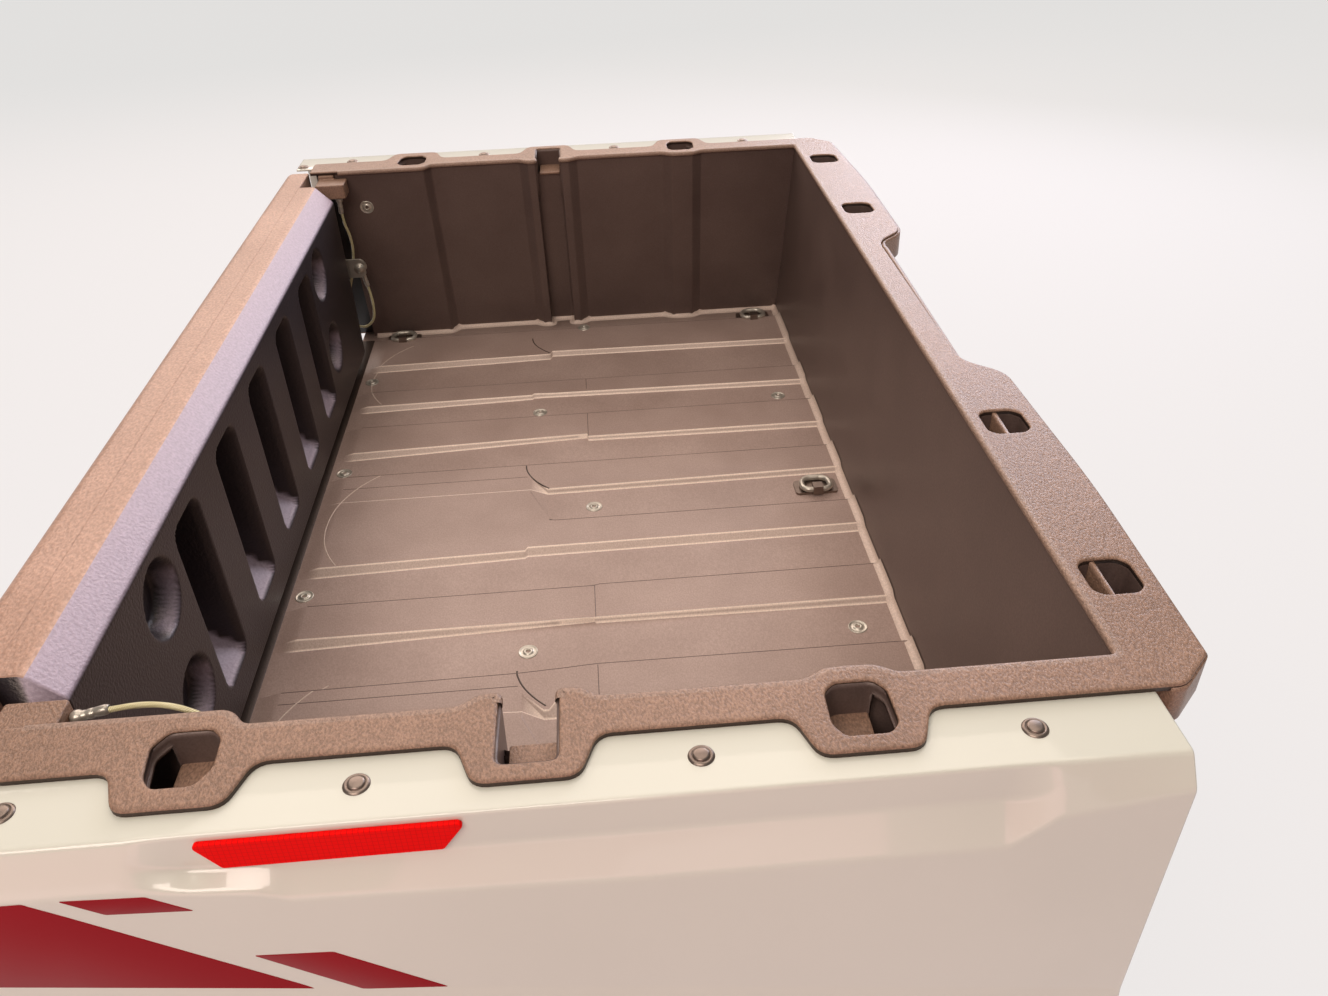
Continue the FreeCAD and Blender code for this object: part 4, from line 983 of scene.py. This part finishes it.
# turned heads as (radius, height); the rivets hold the panels to the rail at an even pitch
fasteners = {
    "rivet": ((0.01, 2.6), (3.6, 2.5), (4.6, 2.2), (5.0, 1.6), (5.05, 1.0), (5.25, 0.9), (5.6, 1.4), (6.6, 1.3),
              (7.4, 0.8), (7.9, 0.0)),
    "screw": ((0.01, -1.0), (2.0, -0.9), (2.3, 0.8), (2.7, 1.5), (4.2, 1.4), (5.0, 0.6), (5.3, 0.2), (8.4, 0.2),
              (9.0, 0.8), (9.7, 0.7), (10.0, 0.0)),
    "dome": ((0.01, 4.2), (2.4, 3.9), (4.6, 3.0), (6.0, 1.6), (6.4, 0.4), (6.4, 0.0), (8.0, 0.0), (8.0, -1.0)),
    "rivetFirst": -71.0,
    "rivetPitch": 193.3,
    "floorScrews": ((-647.5, 417.7), (-647.0, 169.2), (-648.9, -78.6), (-648.9, -326.0), (-329.8, 550.6),
                    (-396.2, 294.4), (-326.7, 54.7), (-400.5, -195.2), (-329.8, -450.0), (-58.7, 298.0),
                    (-60.0, -196.0), (-60.0, -450.0)),
    "wallScrew": (-632.0, 541.5, -57.2),
    "boltDome": (-652.0, 504.2, -136.0),
}
upwards = (0.0, 0.0, 1.0)
rivetRows, screwRows, domeRows = [], [], []
for x, y in fasteners["floorScrews"]:
    lift = floor["height"] * float(ribHeight(np.array([x]), np.array([y]))[0])
    screwRows.append((fasteners["screw"], (x, y, floor["top"] + lift), upwards))
for side in (-1.0, 1.0):
    for k in range(4):
        place = (fasteners["rivetFirst"] - fasteners["rivetPitch"] * k, side * 593.0, panel["top"])
        rivetRows.append((fasteners["rivet"], place, upwards))
    rivetRows.append((fasteners["rivet"], (-719.0, side * 577.0, panel["top"]), upwards))
    x, y, z = fasteners["wallScrew"]
    screwRows.append((fasteners["screw"], (x, side * y, z), (0.0, -side, -drawn["tilt"])))
    x, y, z = fasteners["boltDome"]
    domeRows.append((fasteners["dome"], (x, side * y, z), (0.0, -side, 0.0)))
turnedPieces("panel_rivets", rivetRows, "bed", bronzeRivet, 36)
turnedPieces("floor_screws", screwRows, "bed", zincSteel, 32)
turnedPieces("tailgate_bolt_domes", domeRows, "tailgate", zincSteel, 28)
print("fasteners made")


# tailgate
gate = {
    "half": 482.0,
    "cadHalf": 470.0,  # in the solids
    "face": -664.0,
    "back": -706.0,
    "top": -5.0,
    "foot": -262.0,
    "bevel": (22.0, 23.0),
    "slotPitch": 123.0,
    "slotHalf": 30.0,
    "slotTop": -48.0,
    "slotFoot": -226.0,
    "slotDepth": 38.0,
    "footRise": 38.0,
    "dimples": ((328.0, -72.0), (328.0, -176.0), (-328.0, -72.0), (-328.0, -176.0)),
    "dimpleR": 33.0,
    "dimpleDepth": 19.0,
    "wallRun": 11.0,  # the width over which a recess's wall falls
}


def smoothStep(t):
    # rises from 0 to 1 with no slope at either end
    t = np.clip(t, 0.0, 1.0)
    return t * t * (3.0 - 2.0 * t)


def roundedInside(across, up, half, low, high, radius):
    # distance in from the edge of a rounded rectangle
    beside = np.abs(across) - (half - radius)
    beyond = np.maximum(up - (high - radius), (low + radius) - up)
    corner = radius - np.hypot(np.maximum(beside, 0.0), np.maximum(beyond, 0.0))
    return np.where((beside > 0.0) & (beyond > 0.0), corner, radius - np.maximum(beside, beyond))


def gateRecess(y, z):
    # depth of the recesses: slots with rounded walls and a foot that slopes out, and round dimples
    depth = np.zeros_like(y)
    for k in range(-2, 3):
        inside = roundedInside(y - k * gate["slotPitch"], z, gate["slotHalf"] + 2.0, gate["slotFoot"] - 2.0,
                               gate["slotTop"] + 2.0, 15.0)
        walls = smoothStep(inside / gate["wallRun"]) * gate["slotDepth"]
        slope = np.clip(z - gate["slotFoot"], 0.0, gate["footRise"]) / gate["footRise"] * gate["slotDepth"]
        depth = np.maximum(depth, np.minimum(walls, slope + 3.0))
    for cy, cz in gate["dimples"]:
        inside = gate["dimpleR"] + 1.5 - np.hypot(y - cy, z - cz)
        depth = np.maximum(depth, smoothStep(inside / gate["wallRun"]) * gate["dimpleDepth"])
    return depth


def gateInner():
    # section of the skin from its back at the top, over the bevel and down the face to its back at the foot
    face, back, top, foot, dimple = [gate[key] for key in ("face", "back", "top", "foot", "dimpleR")]
    bevelX, bevelZ = gate["bevel"]
    turns = ((back, top), (face - bevelX, top), (face, top - bevelZ), (face, foot), (back, foot))
    rounded = roundedSection([np.array([turn], float) for turn in turns], (4.0, 4.0, 3.0), 5)[0]
    zs = np.linspace(top - bevelZ - 5.0, foot + 4.0, 112)
    # the face's own rows lie between the bevel's lower bend and the foot's bend
    section = np.concatenate([rounded[:11], np.stack([np.full_like(zs, face), zs], 1), rounded[11:]])
    ys = np.linspace(-gate["half"], gate["half"], 420)
    rows, columns = len(ys), len(section)
    y = np.broadcast_to(ys[:, None], (rows, columns))
    x, z = [np.broadcast_to(section[None, :, k], y.shape) for k in (0, 1)]
    x = x - np.where(np.abs(x - face) < 0.5, gateRecess(y, z), 0.0)
    faces = gridFaces(rows, columns)
    last = (rows - 1) * columns
    faces.append(list(range(columns)))
    faces.append([last + k for k in range(columns)][::-1])
    faces.append([0, columns - 1, last + columns - 1, last])
    piece = newPiece("tailgate_inner_moulding", np.stack([x, y, z], -1), faces, "tailgate", gateGrain,
                     ("tailgate_inner",), recalc=True)
    place = toDrawing([vertex.co for vertex in piece.data.vertices])
    fromTop = top - place[:, 2]
    # the bevel's pale lilac colour is a painted sheen
    onBevel = smoothStep((fromTop + 0.5) / 2.0) * smoothStep((bevelZ + 2.0 - fromTop) / 3.0)
    # painted highlights on the slots' feet and on the far lower side of each dimple, where these catch the light, as
    # on the bevel
    upward = np.array([vertex.normal.z for vertex in piece.data.vertices])
    shown = 0.75 * smoothStep((upward - 0.3) / 0.3) * ((place[:, 0] < face - 1.0) & (fromTop > bevelZ + 20.0))
    for cy, cz in gate["dimples"]:
        across, rise = place[:, 1] - cy, place[:, 2] - cz
        radius = np.maximum(np.hypot(across, rise), 1e-6)
        ring = smoothStep((radius - dimple + 6.5) / 2.5) * smoothStep((dimple + 1.0 - radius) / 2.0)
        turn = smoothStep(((0.75 * across - 0.66 * rise) / radius - 0.35) / 0.45)
        shown = np.where(radius < dimple + 2.0, 0.6 * ring * turn, shown)
    rubbed = np.maximum(onBevel * smoothStep((place[:, 0] + 690.0) / 4.0), shown)
    setPaintedHighlight(piece, np.where(place[:, 0] > back + 1.0, rubbed, 0.0))
    piece.data.materials.append(lipGrain)
    for polygon in piece.data.polygons:
        centre = toDrawing(polygon.center)
        polygon.material_index = int(centre[2] > top - 1.5 and centre[0] < -684.0)


def widened(work):
    # the outer half reaches as far as the inner half
    for vertex in work.verts:
        vertex.co.y *= gate["half"] / gate["cadHalf"]


gateInner()
mouldedCopy("tailgate_outer", "_moulding", lipGrain, 3.0, 3, widened)
print("tailgate made")


# studio: a plain pale floor, soft lights
ground = bpy.data.meshes.new("studio_floor")
ground.from_pydata([(-15, -15, -0.27), (15, -15, -0.27), (15, 15, -0.27), (-15, 15, -0.27)], [], [(0, 1, 2, 3)])
material = emptied(bpy.data.materials.new("studio_floor_pale"))
lit = addNode(material, "BsdfDiffuse", {"Color": linear("#DCCDD0")})
seen = addNode(material, "Emission", {"Color": linear("#F4F3F1"), "Strength": 1.0})
path = addNode(material, "LightPath")
direct = addNode(material, "Math", {0: (path, "Is Camera Ray"), 1: (path, "Is Glossy Ray")}, operation="MAXIMUM")
share = addNode(material, "Math", {0: (direct, 0), 1: 0.8}, operation="MULTIPLY")
shader = addNode(material, "MixShader", {0: (share, 0), 1: (lit, 0), 2: (seen, 0)})
addNode(material, "OutputMaterial", {"Surface": (shader, 0)})
ground.materials.append(material)
addObject("studio_floor", ground)

softboxes = (
    # name, place, target, size, power, tint
    ("overhead", (0.0, 0.2, 3.0), (0.0, 0.1, 0.2), (3.0, 2.4), 38.0, "#FFF0E4"),
    ("far_left", (-0.5, 2.9, 2.2), (-0.1, 0.0, 0.1), (4.4, 2.5), 92.0, "#FFEDE2"),
    ("far_right", (1.6, 2.6, 1.3), (0.0, 0.0, 0.1), (1.8, 1.3), 44.0, "#E6EBFF"),
    ("near_top", (-0.8, -2.1, 2.3), (-0.1, 0.4, 0.1), (1.8, 1.2), 41.0, "#FFEFE4"),
    ("near_fill", (-0.6, -3.2, 0.25), (-0.2, -0.6, 0.25), (2.8, 1.2), 12.0, "#FFACB6"),
)
for name, place, target, size, power, tint in softboxes:
    lamp = bpy.data.lights.new(name, "AREA")
    lamp.shape = "RECTANGLE"
    lamp.size, lamp.size_y = size
    lamp.energy = power
    lamp.color = linear(tint)[:3]
    holder = addObject(name, lamp)
    holder.rotation_euler = (Vector(target) - Vector(place)).to_track_quat("-Z", "Y").to_euler()
    holder.location = place

# the camera sees a white background, and the object is lit by a dim pale one
world = emptied(bpy.data.worlds.new("studio"))
bpy.context.scene.world = world
shade = addNode(world, "Background", {"Color": linear("#EFEDEA"), "Strength": 0.25})
plain = addNode(world, "Background", {"Color": (1.0, 1.0, 1.0, 1.0), "Strength": 1.0})
path = addNode(world, "LightPath")
mix = addNode(world, "MixShader", {"Fac": (path, "Is Camera Ray"), 1: (shade, 0), 2: (plain, 0)})
addNode(world, "OutputWorld", {"Surface": (mix, 0)})
bpy.context.scene.view_settings.view_transform = "Standard"
print("studio made")
